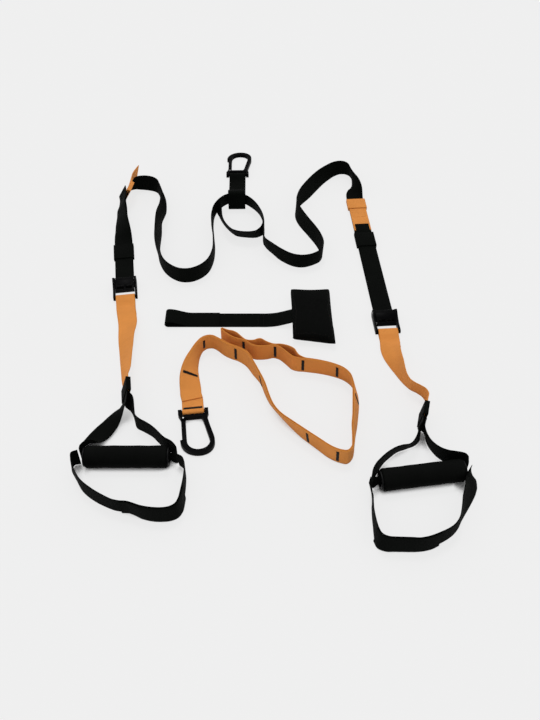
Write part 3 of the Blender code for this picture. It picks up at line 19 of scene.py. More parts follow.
import bmesh
import bpy
from mathutils import Matrix, Vector
from mathutils.bvhtree import BVHTree
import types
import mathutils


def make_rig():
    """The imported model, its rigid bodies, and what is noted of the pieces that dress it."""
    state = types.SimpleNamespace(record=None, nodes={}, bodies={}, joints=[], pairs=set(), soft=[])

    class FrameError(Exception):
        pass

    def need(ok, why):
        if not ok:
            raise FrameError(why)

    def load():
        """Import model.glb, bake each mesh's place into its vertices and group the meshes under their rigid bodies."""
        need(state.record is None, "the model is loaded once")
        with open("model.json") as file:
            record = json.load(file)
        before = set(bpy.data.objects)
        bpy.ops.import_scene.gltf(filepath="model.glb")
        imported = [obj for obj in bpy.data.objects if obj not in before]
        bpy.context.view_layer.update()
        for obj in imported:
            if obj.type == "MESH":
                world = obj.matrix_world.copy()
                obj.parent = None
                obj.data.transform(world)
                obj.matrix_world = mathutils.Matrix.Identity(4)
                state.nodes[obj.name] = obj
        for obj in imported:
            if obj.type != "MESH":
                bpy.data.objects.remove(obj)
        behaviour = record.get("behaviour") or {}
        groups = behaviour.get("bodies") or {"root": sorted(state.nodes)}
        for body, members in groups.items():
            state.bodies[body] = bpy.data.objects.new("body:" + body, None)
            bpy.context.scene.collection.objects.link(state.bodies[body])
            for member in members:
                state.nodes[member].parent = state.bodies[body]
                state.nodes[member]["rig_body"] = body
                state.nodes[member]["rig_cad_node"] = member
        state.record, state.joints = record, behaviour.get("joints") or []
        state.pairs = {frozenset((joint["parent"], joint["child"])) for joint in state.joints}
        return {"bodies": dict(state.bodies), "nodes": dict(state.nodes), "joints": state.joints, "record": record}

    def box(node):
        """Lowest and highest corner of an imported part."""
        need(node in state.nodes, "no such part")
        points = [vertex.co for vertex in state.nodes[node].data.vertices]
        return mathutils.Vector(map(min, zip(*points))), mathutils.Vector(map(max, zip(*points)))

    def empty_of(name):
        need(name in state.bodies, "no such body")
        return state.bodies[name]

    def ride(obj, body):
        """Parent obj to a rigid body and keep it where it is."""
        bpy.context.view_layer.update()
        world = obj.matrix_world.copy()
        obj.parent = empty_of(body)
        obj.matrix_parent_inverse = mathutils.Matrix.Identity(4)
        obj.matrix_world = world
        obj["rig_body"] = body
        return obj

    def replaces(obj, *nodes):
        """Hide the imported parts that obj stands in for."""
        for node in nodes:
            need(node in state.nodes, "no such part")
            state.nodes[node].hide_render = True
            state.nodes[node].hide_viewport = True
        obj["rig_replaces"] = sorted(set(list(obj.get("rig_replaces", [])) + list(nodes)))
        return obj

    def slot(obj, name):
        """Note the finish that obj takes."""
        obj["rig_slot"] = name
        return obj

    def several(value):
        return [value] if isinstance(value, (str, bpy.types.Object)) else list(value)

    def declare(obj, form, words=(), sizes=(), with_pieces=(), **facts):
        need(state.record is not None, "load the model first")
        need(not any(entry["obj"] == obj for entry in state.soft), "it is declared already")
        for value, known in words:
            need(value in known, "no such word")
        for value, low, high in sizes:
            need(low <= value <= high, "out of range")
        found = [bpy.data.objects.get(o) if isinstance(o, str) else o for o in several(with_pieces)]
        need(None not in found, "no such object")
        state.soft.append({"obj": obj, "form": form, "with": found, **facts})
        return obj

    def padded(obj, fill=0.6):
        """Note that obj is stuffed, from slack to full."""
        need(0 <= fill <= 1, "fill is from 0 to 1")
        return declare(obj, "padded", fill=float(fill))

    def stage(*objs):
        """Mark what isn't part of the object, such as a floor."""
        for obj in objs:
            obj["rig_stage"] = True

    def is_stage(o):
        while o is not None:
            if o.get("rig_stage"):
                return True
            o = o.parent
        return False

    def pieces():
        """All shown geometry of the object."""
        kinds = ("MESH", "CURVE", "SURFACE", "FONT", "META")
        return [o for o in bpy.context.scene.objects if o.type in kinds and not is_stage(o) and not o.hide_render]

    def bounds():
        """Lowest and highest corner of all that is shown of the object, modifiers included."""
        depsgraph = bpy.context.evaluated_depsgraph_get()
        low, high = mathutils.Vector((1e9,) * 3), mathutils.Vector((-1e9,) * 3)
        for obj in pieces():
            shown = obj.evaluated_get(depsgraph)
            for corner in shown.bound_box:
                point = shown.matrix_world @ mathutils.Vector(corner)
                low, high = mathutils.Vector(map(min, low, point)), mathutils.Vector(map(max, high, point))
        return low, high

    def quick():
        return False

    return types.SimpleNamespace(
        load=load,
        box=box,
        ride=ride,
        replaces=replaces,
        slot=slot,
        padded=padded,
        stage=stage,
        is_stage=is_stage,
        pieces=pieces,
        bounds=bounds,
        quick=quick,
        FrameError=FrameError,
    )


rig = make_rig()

LOG = logging.getLogger("suspension_trainer")

Mesh = bmesh.types.BMesh
Vert = bmesh.types.BMVert
Object = bpy.types.Object
Socket = bpy.types.NodeSocket
Rung = tuple[Vert, Vert]
Corners = tuple[Vector, Vector, Vector, Vector]

# Millimetres in a metre; every other length is in metres.
MM = 1000
WEBBING_WIDTH = 0.038
# Half the length of a row that is sewn straight across a webbing.
ROW_HALF = 0.0145
# Vertices nearer than this are one, and shorter runs than the second have no direction.
MERGE = 1e-6
TINY = 1e-7
# Turns between faces: taken as flat, rounded off, and shaded as an edge on three kinds of piece.
FLAT_TURN = math.radians(1)
SHARP_TURN = math.radians(30)
HARD_SHADE_TURN = math.radians(38)
BAND_SHADE_TURN = math.radians(40)
FOAM_SHADE_TURN = math.radians(50)
# Steps of a rounding that shows.
FINE_STEPS = 3
WEAVE_MAP = "weave"
SIZE_FILE = "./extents.json"


# ---------------------------------------------------------------- materials


def linear(code: str) -> tuple[float, float, float, float]:
    """Turns an sRGB hex colour into Blender's linear colour.

    Args:
        code: Six hex digits with a leading hash.

    Returns:
        Red, green, blue and an alpha of one.
    """
    parts = [int(code[k:k + 2], 16) / 255 for k in (1, 3, 5)]
    bent = [p / 12.92 if p <= 0.04045 else ((p + 0.055) / 1.055) ** 2.4 for p in parts]
    return (bent[0], bent[1], bent[2], 1.0)


class Recipe:
    """A node material in the making, with the steps that several finishes share."""

    def __init__(self, name: str) -> None:
        """Starts an empty material."""
        self.material = bpy.data.materials.new(name)
        self.material.use_nodes = True
        self.material.node_tree.nodes.clear()

    def node(self, kind: str, inputs: dict[Any, Any]) -> bpy.types.Node:
        """Adds one shader node.

        Args:
            kind: Blender's name of the node type.
            inputs: A value or a feeding socket for each input, and the node's own properties.

        Returns:
            The new node.
        """
        node = self.material.node_tree.nodes.new(kind)
        for name, value in inputs.items():
            if isinstance(value, Socket):
                self.material.node_tree.links.new(value, node.inputs[name])
            elif isinstance(name, int) or name in node.inputs:
                node.inputs[name].default_value = value
            else:
                setattr(node, name, value)
        return node

    @cached_property
    def place(self) -> Socket:
        """The Object coordinates, in metres."""
        return self.node("ShaderNodeTexCoord", {}).outputs["Object"]

    @cached_property
    def uv(self) -> Socket:
        """The piece's own weave map, in strap widths."""
        return self.node("ShaderNodeUVMap", {"uv_map": WEAVE_MAP}).outputs["UV"]

    def noise(self, scale: float, detail: float, roughness: float = 0.5,
              distortion: float = 0.0, vector: Optional[Socket] = None) -> Socket:
        """Adds a noise, on Object coordinates if no others are given."""
        return self.node("ShaderNodeTexNoise", {
            "Vector": vector or self.place, "Scale": scale, "Detail": detail,
            "Roughness": roughness, "Distortion": distortion}).outputs["Fac"]

    def weave(self, vector: Socket, thread: str, gap: str, scale: float, seam: float,
              run: float) -> bpy.types.Node:
        """Adds a plain weave, each row half a thread on.

        Args:
            vector: What it lies on.
            thread: The threads' colour.
            gap: The colour between them.
            scale: Rows to a unit of the vector.
            seam: Width of the gap, in rows.
            run: Length of a thread between its crossings, in rows.

        Returns:
            The weave's node.
        """
        return self.node("ShaderNodeTexBrick", {
            "Vector": vector, "Color1": linear(thread), "Color2": linear(thread),
            "Mortar": linear(gap), "Scale": scale, "Mortar Size": seam, "Mortar Smooth": 1.0,
            "Brick Width": run, "Row Height": 1.0, "offset": 0.5})

    def spread(self, source: Socket, low: float = 0.0, high: float = 1.0, start: float = 0.3,
               end: float = 0.7, kind: str = "LINEAR") -> Socket:
        """Stretches a range, by default the one that a noise fills, to another."""
        return self.node("ShaderNodeMapRange", {
            "Value": source, "From Min": start, "From Max": end, "To Min": low,
            "To Max": high, "interpolation_type": kind}).outputs["Result"]

    def math(self, operation: str, *values: Any) -> Socket:
        """Calculates with sockets or numbers."""
        inputs = {"operation": operation, **dict(enumerate(values))}
        return self.node("ShaderNodeMath", inputs).outputs["Value"]

    def mix(self, share: Any, one: Any, two: Any, blend: str = "MIX") -> Socket:
        """Mixes two colours by a share."""
        return self.node("ShaderNodeMix", {"data_type": "RGBA", "blend_type": blend, 0: share,
                                           6: one, 7: two}).outputs[2]

    def times(self, one: Any, two: Any) -> Socket:
        """Multiplies two colours."""
        return self.mix(1.0, one, two, "MULTIPLY")

    def bump(self, height: Socket, strength: float, distance: float, **more: Any) -> Socket:
        """Turns a height into a bent normal."""
        return self.node("ShaderNodeBump", {"Height": height, "Strength": strength,
                                            "Distance": distance, **more}).outputs["Normal"]

    def surface(self, inputs: dict[str, Any]) -> bpy.types.Material:
        """Ends the material with a principled surface."""
        return self.close(self.node("ShaderNodeBsdfPrincipled", inputs).outputs["BSDF"])

    def close(self, shader: Socket) -> bpy.types.Material:
        """Feeds a shader to the output and returns the material."""
        self.node("ShaderNodeOutputMaterial", {"Surface": shader})
        return self.material


@dataclass(frozen=True)
class WovenWebbing:
    """Polyester webbing, woven: dull, with a rib along its length and a denser selvedge."""

    name: str
    thread: str
    gap: str
    edge: str
    tone: float
    rib_mm: float = 1.9
    roughness: float = 0.78
    specular: float = 0.1
    sheen: float = 0.05

    def build(self) -> bpy.types.Material:
        """Builds the material, which reads the ribbon's own weave map.

        Returns:
            The material.
        """
        r = Recipe(self.name)
        # Real warp ribs are about 1 mm apart; they are drawn twice as coarse so that they show.
        ribs = WEBBING_WIDTH * MM / self.rib_mm
        scaled = r.node("ShaderNodeMapping", {"Vector": r.uv, "Scale": (ribs, ribs, 1.0)})
        floats = r.weave(scaled.outputs["Vector"], self.thread, self.gap,
                         scale=1.0, seam=0.13, run=2.2)
        fuzz = r.noise(scale=700.0, detail=2.0)
        tone = r.spread(r.noise(scale=34.0, detail=4.0, roughness=0.6),
                        1.0 - self.tone, 1.0 + self.tone)
        grain = r.spread(fuzz, 1.0 - self.tone * 0.6, 1.0 + self.tone * 0.6)
        toned = r.times(floats.outputs["Color"], r.math("MULTIPLY", tone, grain))
        across = r.node("ShaderNodeSeparateXYZ", {"Vector": r.uv}).outputs["Y"]
        far = r.math("ABSOLUTE", r.math("SUBTRACT", across, 0.5))
        selvedge = r.spread(far, high=0.8, start=0.43, end=0.495)
        raised = r.math("SUBTRACT", 1.0, floats.outputs["Fac"])
        height = r.math("MULTIPLY_ADD", fuzz, 0.25, raised)
        return r.surface({
            "Base Color": r.mix(selvedge, toned, linear(self.edge)),
            "Roughness": self.roughness, "Sheen Weight": self.sheen, "Sheen Roughness": 0.5,
            "Specular IOR Level": self.specular, "IOR": 1.5,
            "Normal": r.bump(height, strength=0.55, distance=0.0004)})


@dataclass(frozen=True)
class PackCloth:
    """Nylon pack cloth, woven and sewn: dull black with a fine square weave and soft creases, with painted shade in
    their hollows and painted light on their ridges.
    """

    name: str
    thread: str
    gap: str
    roughness: float = 0.75

    def build(self) -> bpy.types.Material:
        """Builds the material, whose weave lies on Object coordinates.

        Returns:
            The material.
        """
        r = Recipe(self.name)
        # A thread pitch of 0.6 mm is drawn at 1.8 mm so that it shows.
        weave = r.weave(r.place, self.thread, self.gap, scale=550.0, seam=0.16, run=1.0)
        creases = r.noise(scale=38.0, detail=5.0, roughness=0.62, distortion=0.8)
        fine = r.bump(weave.outputs["Fac"], strength=0.4, distance=0.0003, invert=True)
        # The crease noise scales the colour too: painted shade in the creases' hollows and painted light on their
        # ridges.
        return r.surface({
            "Base Color": r.times(weave.outputs["Color"], r.spread(creases, 0.8, 1.25)),
            "Roughness": self.roughness, "Sheen Weight": 0.004, "Sheen Roughness": 0.5,
            "Specular IOR Level": 0.03, "IOR": 1.5,
            "Normal": r.bump(creases, strength=0.5, distance=0.002, Normal=fine)})


@dataclass(frozen=True)
class PowderCoatedSteel:
    """Powder-coated steel: satin black with a fine orange peel, rubbed paler on its edges."""

    name: str
    coat: str
    rubbed: str
    roughness: float = 0.36

    def build(self) -> bpy.types.Material:
        """Builds the material, with wear where the surface is convex.

        Returns:
            The material.
        """
        r = Recipe(self.name)
        # Orange peel of about 1 mm.
        peel = r.noise(scale=900.0, detail=2.0)
        scuffs = r.noise(scale=160.0, detail=6.0, roughness=0.7)
        shape = r.node("ShaderNodeNewGeometry", {}).outputs["Pointiness"]
        worn = r.math("MULTIPLY", r.spread(shape, high=0.8, start=0.54, end=0.66),
                      r.spread(scuffs, start=0.42, end=0.62))
        return r.surface({
            "Base Color": r.mix(worn, linear(self.coat), linear(self.rubbed)),
            "Roughness": r.spread(scuffs, self.roughness - 0.06, self.roughness + 0.08),
            "IOR": 1.5, "Specular IOR Level": 0.025,
            "Normal": r.bump(peel, strength=0.25, distance=0.0002)})


@dataclass(frozen=True)
class ZincSteel:
    """Zinc-plated steel, drawn: a grey metal with fine drawing lines."""

    name: str
    colour: str
    roughness: float = 0.34

    def build(self) -> bpy.types.Material:
        """Builds the material.

        Returns:
            The material.
        """
        r = Recipe(self.name)
        lines = r.node("ShaderNodeMapping", {"Vector": r.place, "Scale": (220.0, 2600.0, 2600.0)})
        drawn = r.noise(scale=1.0, detail=3.0, vector=lines.outputs["Vector"])
        return r.surface({
            "Base Color": linear(self.colour), "Metallic": 1.0,
            "Roughness": r.spread(drawn, self.roughness - 0.08, self.roughness + 0.1),
            "Normal": r.bump(drawn, strength=0.2, distance=0.0001)})


@dataclass(frozen=True)
class NitrileFoam:
    """Closed-cell nitrile foam, skinned: matt black with fine pores, with painted shade in their pits, and faint
    handling marks.
    """

    name: str
    skin: str
    pore: str
    roughness: float = 0.8

    def build(self) -> bpy.types.Material:
        """Builds the material.

        Returns:
            The material.
        """
        r = Recipe(self.name)
        # Pores of about 0.5 mm, drawn at 1.2 mm so that they show.
        pores = r.node("ShaderNodeTexVoronoi", {"Vector": r.place, "Scale": 850.0})
        deep = r.spread(pores.outputs["Distance"], start=0.0, end=0.35)
        marks = r.noise(scale=45.0, detail=6.0, roughness=0.65)
        # The pits of the pores are painted darker: painted shade in them.
        colour = r.mix(deep, linear(self.pore), linear(self.skin))
        return r.surface({
            "Base Color": r.times(colour, r.spread(marks, 0.8, 1.25)),
            "Roughness": self.roughness, "Specular IOR Level": 0.04, "IOR": 1.5,
            "Normal": r.bump(deep, strength=0.35, distance=0.0003)})


@dataclass(frozen=True)
class MouldedNylon:
    """Nylon, injection-moulded: black with a fine spark-eroded grain and a soft shine."""

    name: str
    colour: str
    roughness: float = 0.46

    def build(self) -> bpy.types.Material:
        """Builds the material.

        Returns:
            The material.
        """
        r = Recipe(self.name)
        # A mould grain of 0.2 mm is drawn at 0.7 mm so that it shows.
        grain = r.noise(scale=1400.0, detail=2.0)
        flow = r.noise(scale=120.0, detail=3.0)
        return r.surface({
            "Base Color": r.times(linear(self.colour), r.spread(flow, 0.85, 1.15)),
            "Roughness": r.spread(flow, self.roughness - 0.07, self.roughness + 0.07),
            "IOR": 1.53, "Specular IOR Level": 0.1,
            "Normal": r.bump(grain, strength=0.3, distance=0.00015)})


@dataclass(frozen=True)
class BondedThread:
    """Bonded polyester thread, sewn: a soft shine, with its lay seen as slanting lines and painted shade in the lay's
    hollows.
    """

    name: str
    colour: str
    hollow: str
    roughness: float = 0.6

    def build(self) -> bpy.types.Material:
        """Builds the material, whose lay follows the piece's own weave map.

        Returns:
            The material.
        """
        r = Recipe(self.name)
        # The lay of a tack's zigzag is about 1 mm, 38 of them to a strap's width.
        lay = r.node("ShaderNodeTexWave", {
            "Vector": r.uv, "wave_type": "BANDS", "bands_direction": "Y", "Scale": 6.0,
            "Distortion": 0.6, "Detail": 1.0}).outputs["Fac"]
        # The lay's hollows are painted darker: painted shade in the grooves of the thread.
        return r.surface({
            "Base Color": r.mix(lay, linear(self.hollow), linear(self.colour)),
            "Roughness": self.roughness, "Specular IOR Level": 0.15, "IOR": 1.5,
            "Normal": r.bump(lay, strength=0.6, distance=0.0003)})


@dataclass(frozen=True)
class StudioPaper:
    """Paper sweep: a flat pale grey that keeps a weak shadow of what lies on it."""

    name: str
    colour: str
    glow: float

    def build(self) -> bpy.types.Material:
        """Builds the material, which glows only to camera, gloss and glass rays.

        Returns:
            The material.
        """
        r = Recipe(self.name)
        rays = r.node("ShaderNodeLightPath", {}).outputs
        seen = r.math("MAXIMUM", r.math("MAXIMUM", rays["Is Camera Ray"], rays["Is Glossy Ray"]),
                      rays["Is Transmission Ray"])
        # Only floor at the front that lies under something within 30 mm keeps its full shadow.
        under = r.node("ShaderNodeAmbientOcclusion", {"Distance": 0.03}).outputs["AO"]
        open_sky = r.spread(under, start=0.26, end=0.5, kind="SMOOTHSTEP")
        place = r.node("ShaderNodeNewGeometry", {}).outputs["Position"]
        depth = r.node("ShaderNodeSeparateXYZ", {"Vector": place}).outputs["Y"]
        clear = r.math("MAXIMUM", open_sky, r.spread(depth, start=-0.33, end=-0.24))
        share = r.math("MULTIPLY", seen, r.math("MULTIPLY", clear, self.glow))
        paper = r.node("ShaderNodeBsdfDiffuse", {"Color": linear(self.colour)})
        glow = r.node("ShaderNodeEmission", {"Color": linear(self.colour), "Strength": 1.0})
        mixed = r.node("ShaderNodeMixShader", {0: share, 1: paper.outputs["BSDF"],
                                               2: glow.outputs["Emission"]})
        return r.close(mixed.outputs["Shader"])


class Finish(Enum):
    """The finishes of the set, each with the record's slot that it stands for."""

    BLACK_WEBBING = ("black_webbing", WovenWebbing(
        "woven_black_webbing", "#070907", "#030403", "#040504", 0.22, specular=0.03, sheen=0.004))
    ORANGE_WEBBING = ("orange_webbing", WovenWebbing(
        "woven_orange_webbing", "#DC8F48", "#C37C34", "#CF853A", 0.05, specular=0.08, sheen=0.03))
    PACK_CLOTH = ("black_webbing", PackCloth("woven_pack_cloth", "#060706", "#030303"))
    COATED_STEEL = ("black_coated_metal", PowderCoatedSteel(
        "powder_coated_steel", "#030304", "#1c1c1c"))
    STEEL = ("steel", ZincSteel("drawn_zinc_steel", "#B4B4B2"))
    # The foam's second colour is the painted shade in its pores.
    FOAM = ("black_foam", NitrileFoam("skinned_nitrile_foam", "#080908", "#030303"))
    NYLON = ("black_plastic", MouldedNylon("moulded_black_nylon", "#09090a"))
    # Each thread's second colour is the painted shade in its lay's hollows.
    BLACK_THREAD = ("black_webbing", BondedThread("sewn_black_thread", "#141210", "#080706"))
    ORANGE_THREAD = ("orange_webbing", BondedThread("sewn_orange_thread", "#C98038",
                                                    "#A9682A"))

    def __init__(self, slot: str, recipe: Any) -> None:
        """Keeps the slot and the recipe of a finish."""
        self.slot = slot
        self.recipe = recipe


@dataclass
class Wardrobe:
    """Builds each finish once and hands it out."""

    made: dict[Finish, bpy.types.Material] = field(default_factory=dict)

    def get(self, finish: Finish) -> bpy.types.Material:
        """Returns the material of a finish, built when first asked for."""
        if finish not in self.made:
            self.made[finish] = finish.recipe.build()
        return self.made[finish]


# ---------------------------------------------------------------- mesh helpers


def new_object(name: str, data: bpy.types.ID) -> Object:
    """Makes an object and links it to the scene."""
    made = bpy.data.objects.new(name, data)
    bpy.context.collection.objects.link(made)
    return made


def as_object(name: str, bm: Mesh) -> Object:
    """Turns a mesh in the making into an object in the scene.

    Args:
        name: The object's name, and its mesh's.
        bm: The mesh. It is freed here.

    Returns:
        The object.
    """
    mesh = bpy.data.meshes.new(name)
    bm.to_mesh(mesh)
    bm.free()
    return new_object(name, mesh)


def merge(bm: Mesh) -> None:
    """Merges vertices that lie on one another."""
    bmesh.ops.remove_doubles(bm, verts=bm.verts, dist=MERGE)


def flatten(bm: Mesh) -> None:
    """Joins faces that lie in one plane."""
    bmesh.ops.dissolve_limit(bm, angle_limit=FLAT_TURN, verts=bm.verts, edges=bm.edges)


def round_off(bm: Mesh, turn: float, width: float, segments: int) -> None:
    """Rounds the edges that turn more than an angle.

    Args:
        bm: The mesh.
        turn: The angle, in radians.
        width: How far back the rounding starts from an edge, in metres.
        segments: Steps of the rounding.
    """
    sharp = [e for e in bm.edges if len(e.link_faces) == 2 and e.calc_face_angle(0) > turn]
    bmesh.ops.bevel(bm, geom=sharp, offset=width, offset_type="OFFSET", affect="EDGES",
                    segments=segments, profile=0.5, material=-1, clamp_overlap=True)


def map_layers(bm: Mesh) -> tuple[Any, Any]:
    """Adds the two layers of lengths, along and across, that the weave map is laid from."""
    return bm.verts.layers.float.new("along"), bm.verts.layers.float.new("across")


def lay_map(bm: Mesh, along: Any, across: Any) -> None:
    """Writes the weave map, in strap widths.

    Args:
        bm: The mesh.
        along: The layer of lengths along the webbing.
        across: The layer of lengths across it.
    """
    weave = bm.loops.layers.uv.new(WEAVE_MAP)
    for face in bm.faces:
        for loop in face.loops:
            loop[weave].uv = (loop.vert[along] / WEBBING_WIDTH,
                              loop.vert[across] / WEBBING_WIDTH + 0.5)


def add_stitch(bm: Mesh, size: tuple[float, float, float], turn: Matrix) -> list[Vert]:
    """Adds one stitch round the origin.

    Args:
        bm: The seam's mesh.
        size: Half its length, half its width and its height, in metres.
        turn: How it is turned.

    Returns:
        Its vertices.
    """
    verts = bmesh.ops.create_icosphere(bm, subdivisions=1, radius=1.0)["verts"]
    bmesh.ops.scale(bm, vec=size, verts=verts)
    bmesh.ops.rotate(bm, matrix=turn, verts=verts)
    return verts


@dataclass
class Workshop:
    """What every sub-assembly shares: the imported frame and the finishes."""

    frame: dict[str, Any]
    wardrobe: Wardrobe = field(default_factory=Wardrobe)

    def body_of(self, node: str) -> str:
        """Returns the name of the body that carries a node."""
        bodies = self.frame["record"]["behaviour"]["bodies"]
        return next(body for body, nodes in bodies.items() if node in nodes)

    def joint(self, name: str) -> tuple[Vector, Vector]:
        """Returns a joint's place and its unit axis."""
        joint = next(j for j in self.frame["joints"] if j["name"] == name)
        return Vector(joint["pos_m"]), Vector(joint["axis"]).normalized()

    def copy_of(self, node: str) -> Mesh:
        """Copies a node's mesh, merged.

        Args:
            node: The node.

        Returns:
            The copy, which the caller frees.
        """
        bm = bmesh.new()
        bm.from_mesh(self.frame["nodes"][node].data)
        merge(bm)
        return bm

    def recoat(self, node: str, finish: Finish) -> None:
        """Gives a node that is shown as packed one of the finishes."""
        self.frame["nodes"][node].data.materials[0] = self.wardrobe.get(finish)

    def place(self, bm: Mesh, name: str, body: str, finish: Finish,
              stands_for: Iterable[str] = (), smooth: bool = True, levels: int = 0) -> Object:
        """Turns a mesh into a finished piece that rides on a body.

        Args:
            bm: The mesh, in the model's frame. It is freed here.
            name: The piece's name.
            body: The body that carries it.
            finish: Its finish.
            stands_for: The nodes that it replaces.
            smooth: Whether its faces are shaded smooth.
            levels: Levels of a subdivision surface, the same for view and render.

        Returns:
            The new object.
        """
        for face in bm.faces:
            face.smooth = smooth
        piece = as_object(name, bm)
        piece.data.materials.append(self.wardrobe.get(finish))
        if levels:
            surface = piece.modifiers.new("surface", "SUBSURF")
            surface.levels = levels
            surface.render_levels = levels
        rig.ride(piece, body)
        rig.slot(piece, finish.slot)
        if stands_for:
            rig.replaces(piece, *stands_for)
        LOG.info("%s on %s: %d faces", name, body, len(piece.data.polygons))
        return piece

    def swap(self, bm: Mesh, node: str, ending: str, finish: Finish, **how: Any) -> Object:
        """Places a mesh instead of a node and on the node's body."""
        return self.place(bm, node + ending, self.body_of(node), finish, (node,), **how)

    def soften(self, node: str, finish: Finish, width: float, segments: int = 2,
               levels: int = 0, firm: Optional[tuple[Vector, float]] = None) -> None:
        """Replaces a hard node by a copy whose sharp edges are rounded.

        Args:
            node: The node.
            finish: Its finish.
            width: How far back the rounding starts from an edge, in metres.
            segments: Steps of the rounding.
            levels: Levels of subdivision, for a curve drawn in facets.
            firm: A point and the distance from it within which subdivision changes nothing.
        """
        bm = self.copy_of(node)
        flatten(bm)
        round_off(bm, SHARP_TURN, width, segments)
        merge(bm)
        bmesh.ops.triangulate(bm, faces=[f for f in bm.faces if len(f.verts) > 4])
        if firm:
            held = bm.edges.layers.float.new("crease_edge")
            for edge in bm.edges:
                if all((v.co - firm[0]).length < firm[1] for v in edge.verts):
                    edge[held] = 1.0
        piece = self.swap(bm, node, "_finished", finish, levels=levels)
        piece.data.set_sharp_from_angle(angle=HARD_SHADE_TURN)


# ---------------------------------------------------------------- webbing


@dataclass
class Ring:
    """One cross-section of a ribbon: its middle, its directions and its size."""

    middle: Vector
    across: Vector
    normal: Vector
    tangent: Vector
    width: float
    thickness: float
    along: float


# Half of a webbing's cross-section, from one selvedge to the other: shares of its half width
# and half thickness. The selvedges are rounded and a little thinner than the middle.
SECTION = ((-1.0, 0.3), (-0.975, 0.8), (-0.93, 1.0), (-0.62, 0.97), (-0.3, 1.0), (0.0, 0.97),
           (0.3, 1.0), (0.62, 0.97), (0.93, 1.0), (0.975, 0.8), (1.0, 0.3))


class BandReader:
    """Reads a webbing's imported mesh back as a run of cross-sections of four corners."""

    # Turns in radians, then lengths, a count and two shares.
    FLAT = 0.02
    SQUARE = 1.2
    SKEW = 0.0004
    NARROWEST = 0.010
    MOST_RUNGS = 2000
    END_SHARE = 1.15
    MITRE_SHARE = 0.6

    def __init__(self, bm: Mesh) -> None:
        """Keeps the node's merged mesh."""
        self.bm = bm

    def corners(self) -> list[Corners]:
        """Reads the band from its flat end.

        Returns:
            The four corners of each cross-section, in order round it.
        """
        first = self._cap()
        layers = self._layers(first)
        if len(layers) * 4 == len(self.bm.verts):
            return [(a.co, b.co, c.co, d.co) for a, b, c, d in layers]
        thin = (first[1].co - first[2].co).length
        starts = ((first[0], first[1]), (first[3], first[2]))
        climbs = [self._climb(start, set(first), thin) for start in starts]
        best = min(climbs, key=len)
        up = first[3].co - first[0].co if best is climbs[0] else first[0].co - first[3].co
        return self._thicken(best, up, thin)

    def _cap(self) -> list[Vert]:
        """Finds the flat end from which the walk starts.

        Returns:
            Its four corners in order round it, those of a wide face first.
        """
        best: tuple[float, list[Vert]] = (math.inf, [])
        for edge in self.bm.edges:
            if edge.calc_face_angle(0) > self.FLAT:
                continue
            one, two = edge.link_faces
            tips = [v for f in (one, two) for v in f.verts if v not in edge.verts]
            corners = [edge.verts[0], tips[0], edge.verts[1], tips[1]]
            sides = [self.bm.edges.get(pair) for pair in zip(corners, corners[1:] + corners[:1])]
            if any(s is None or s.calc_face_angle(0) < self.SQUARE for s in sides):
                continue
            lengths = [s.calc_length() for s in sides]
            skew = abs(lengths[0] - lengths[2]) + abs(lengths[1] - lengths[3])
            if skew < self.SKEW and max(lengths) > self.NARROWEST and min(lengths) < best[0]:
                turned = corners if lengths[0] > lengths[1] else corners[1:] + corners[:1]
                best = (min(lengths), turned)
        if not best[1]:
            raise ValueError("it has no flat end")
        return best[1]

    def _layers(self, first: list[Vert]) -> list[list[Vert]]:
        """Walks the band one cross-section of four corners at a time.

        Args:
            first: The corners of the flat end.

        Returns:
            The corners of each cross-section, as far as they can be told apart.
        """
        layers = [first]
        seen = set(first)
        while True:
            last = layers[-1]
            around = {e.other_vert(v) for v in last for e in v.link_edges} - seen
            best: tuple[float, list[Vert]] = (math.inf, [])
            for order in itertools.permutations(around) if len(around) == 4 else ():
                pairs = list(zip(last, order)) + list(zip(order, order[1:] + order[:1]))
                if all(self.bm.edges.get(pair) for pair in pairs):
                    size = sum((a.co - b.co).length for a, b in pairs[:4])
                    best = min(best, (size, list(order)), key=lambda found: found[0])
            if not best[1]:
                return layers
            layers.append(best[1])
            seen.update(best[1])

    def _climb(self, start: Rung, cap: set[Vert], thin: float) -> list[Rung]:
        """Climbs one wide face from rung to rung, where flat runs were merged.

        Args:
            start: The first rung, an edge of the flat end.
            cap: The corners of the flat end.
            thin: The webbing's thickness.

        Returns:
            Every rung of that face, in order.
        """
        rungs = [start]
        face = next(f for f in self.bm.edges.get(start).link_faces if not set(f.verts) <= cap)
        while True:
            one, two = rungs[-1]
            tip = next(v for v in face.verts if v not in (one, two))
            first, second = self.bm.edges.get((one, tip)), self.bm.edges.get((two, tip))
            near_one = first.calc_face_angle(0) > second.calc_face_angle(0)
            slant = second if near_one else first
            face = next(f for f in slant.link_faces if f is not face)
            other = next(v for v in face.verts if v not in slant.verts)
            rung = (tip, other) if near_one else (other, tip)
            edge = self.bm.edges.get(rung)
            if edge is None or len(rungs) > self.MOST_RUNGS:
                raise ValueError(f"it breaks off after {len(rungs)} rungs")
            rungs.append(rung)
            face = next(f for f in edge.link_faces if f is not face)
            reach = 2 * face.calc_area() / edge.calc_length()
            if edge.calc_face_angle(0) > self.SQUARE and reach < thin * self.END_SHARE:
                return rungs

    def _thicken(self, rungs: list[Rung], up: Vector, thin: float) -> list[Corners]:
        """Gives one climbed face its thickness.

        Args:
            rungs: The rungs of the face.
            up: The way to the other face at the first rung.
            thin: The webbing's thickness.

        Returns:
            The four corners of each cross-section, in order round it.
        """
        middles = [(a.co + b.co) / 2 for a, b in rungs]
        normals: list[Vector] = []
        for (a, b), (start, end) in zip(rungs, zip(middles, middles[1:])):
            normal = (b.co - a.co).cross(end - start).normalized()
            before = normals[-1] if normals else up
            normals.append(normal if normal.dot(before) > 0 else -normal)
        normals.append(normals[-1])
        corners: list[Corners] = []
        for k, (a, b) in enumerate(rungs):
            both = normals[max(k - 1, 0)] + normals[k]
            rise = both.normalized() * thin / max(both.length / 2, self.MITRE_SHARE)
            corners.append((a.co.copy(), b.co.copy(), b.co + rise, a.co + rise))
        return corners


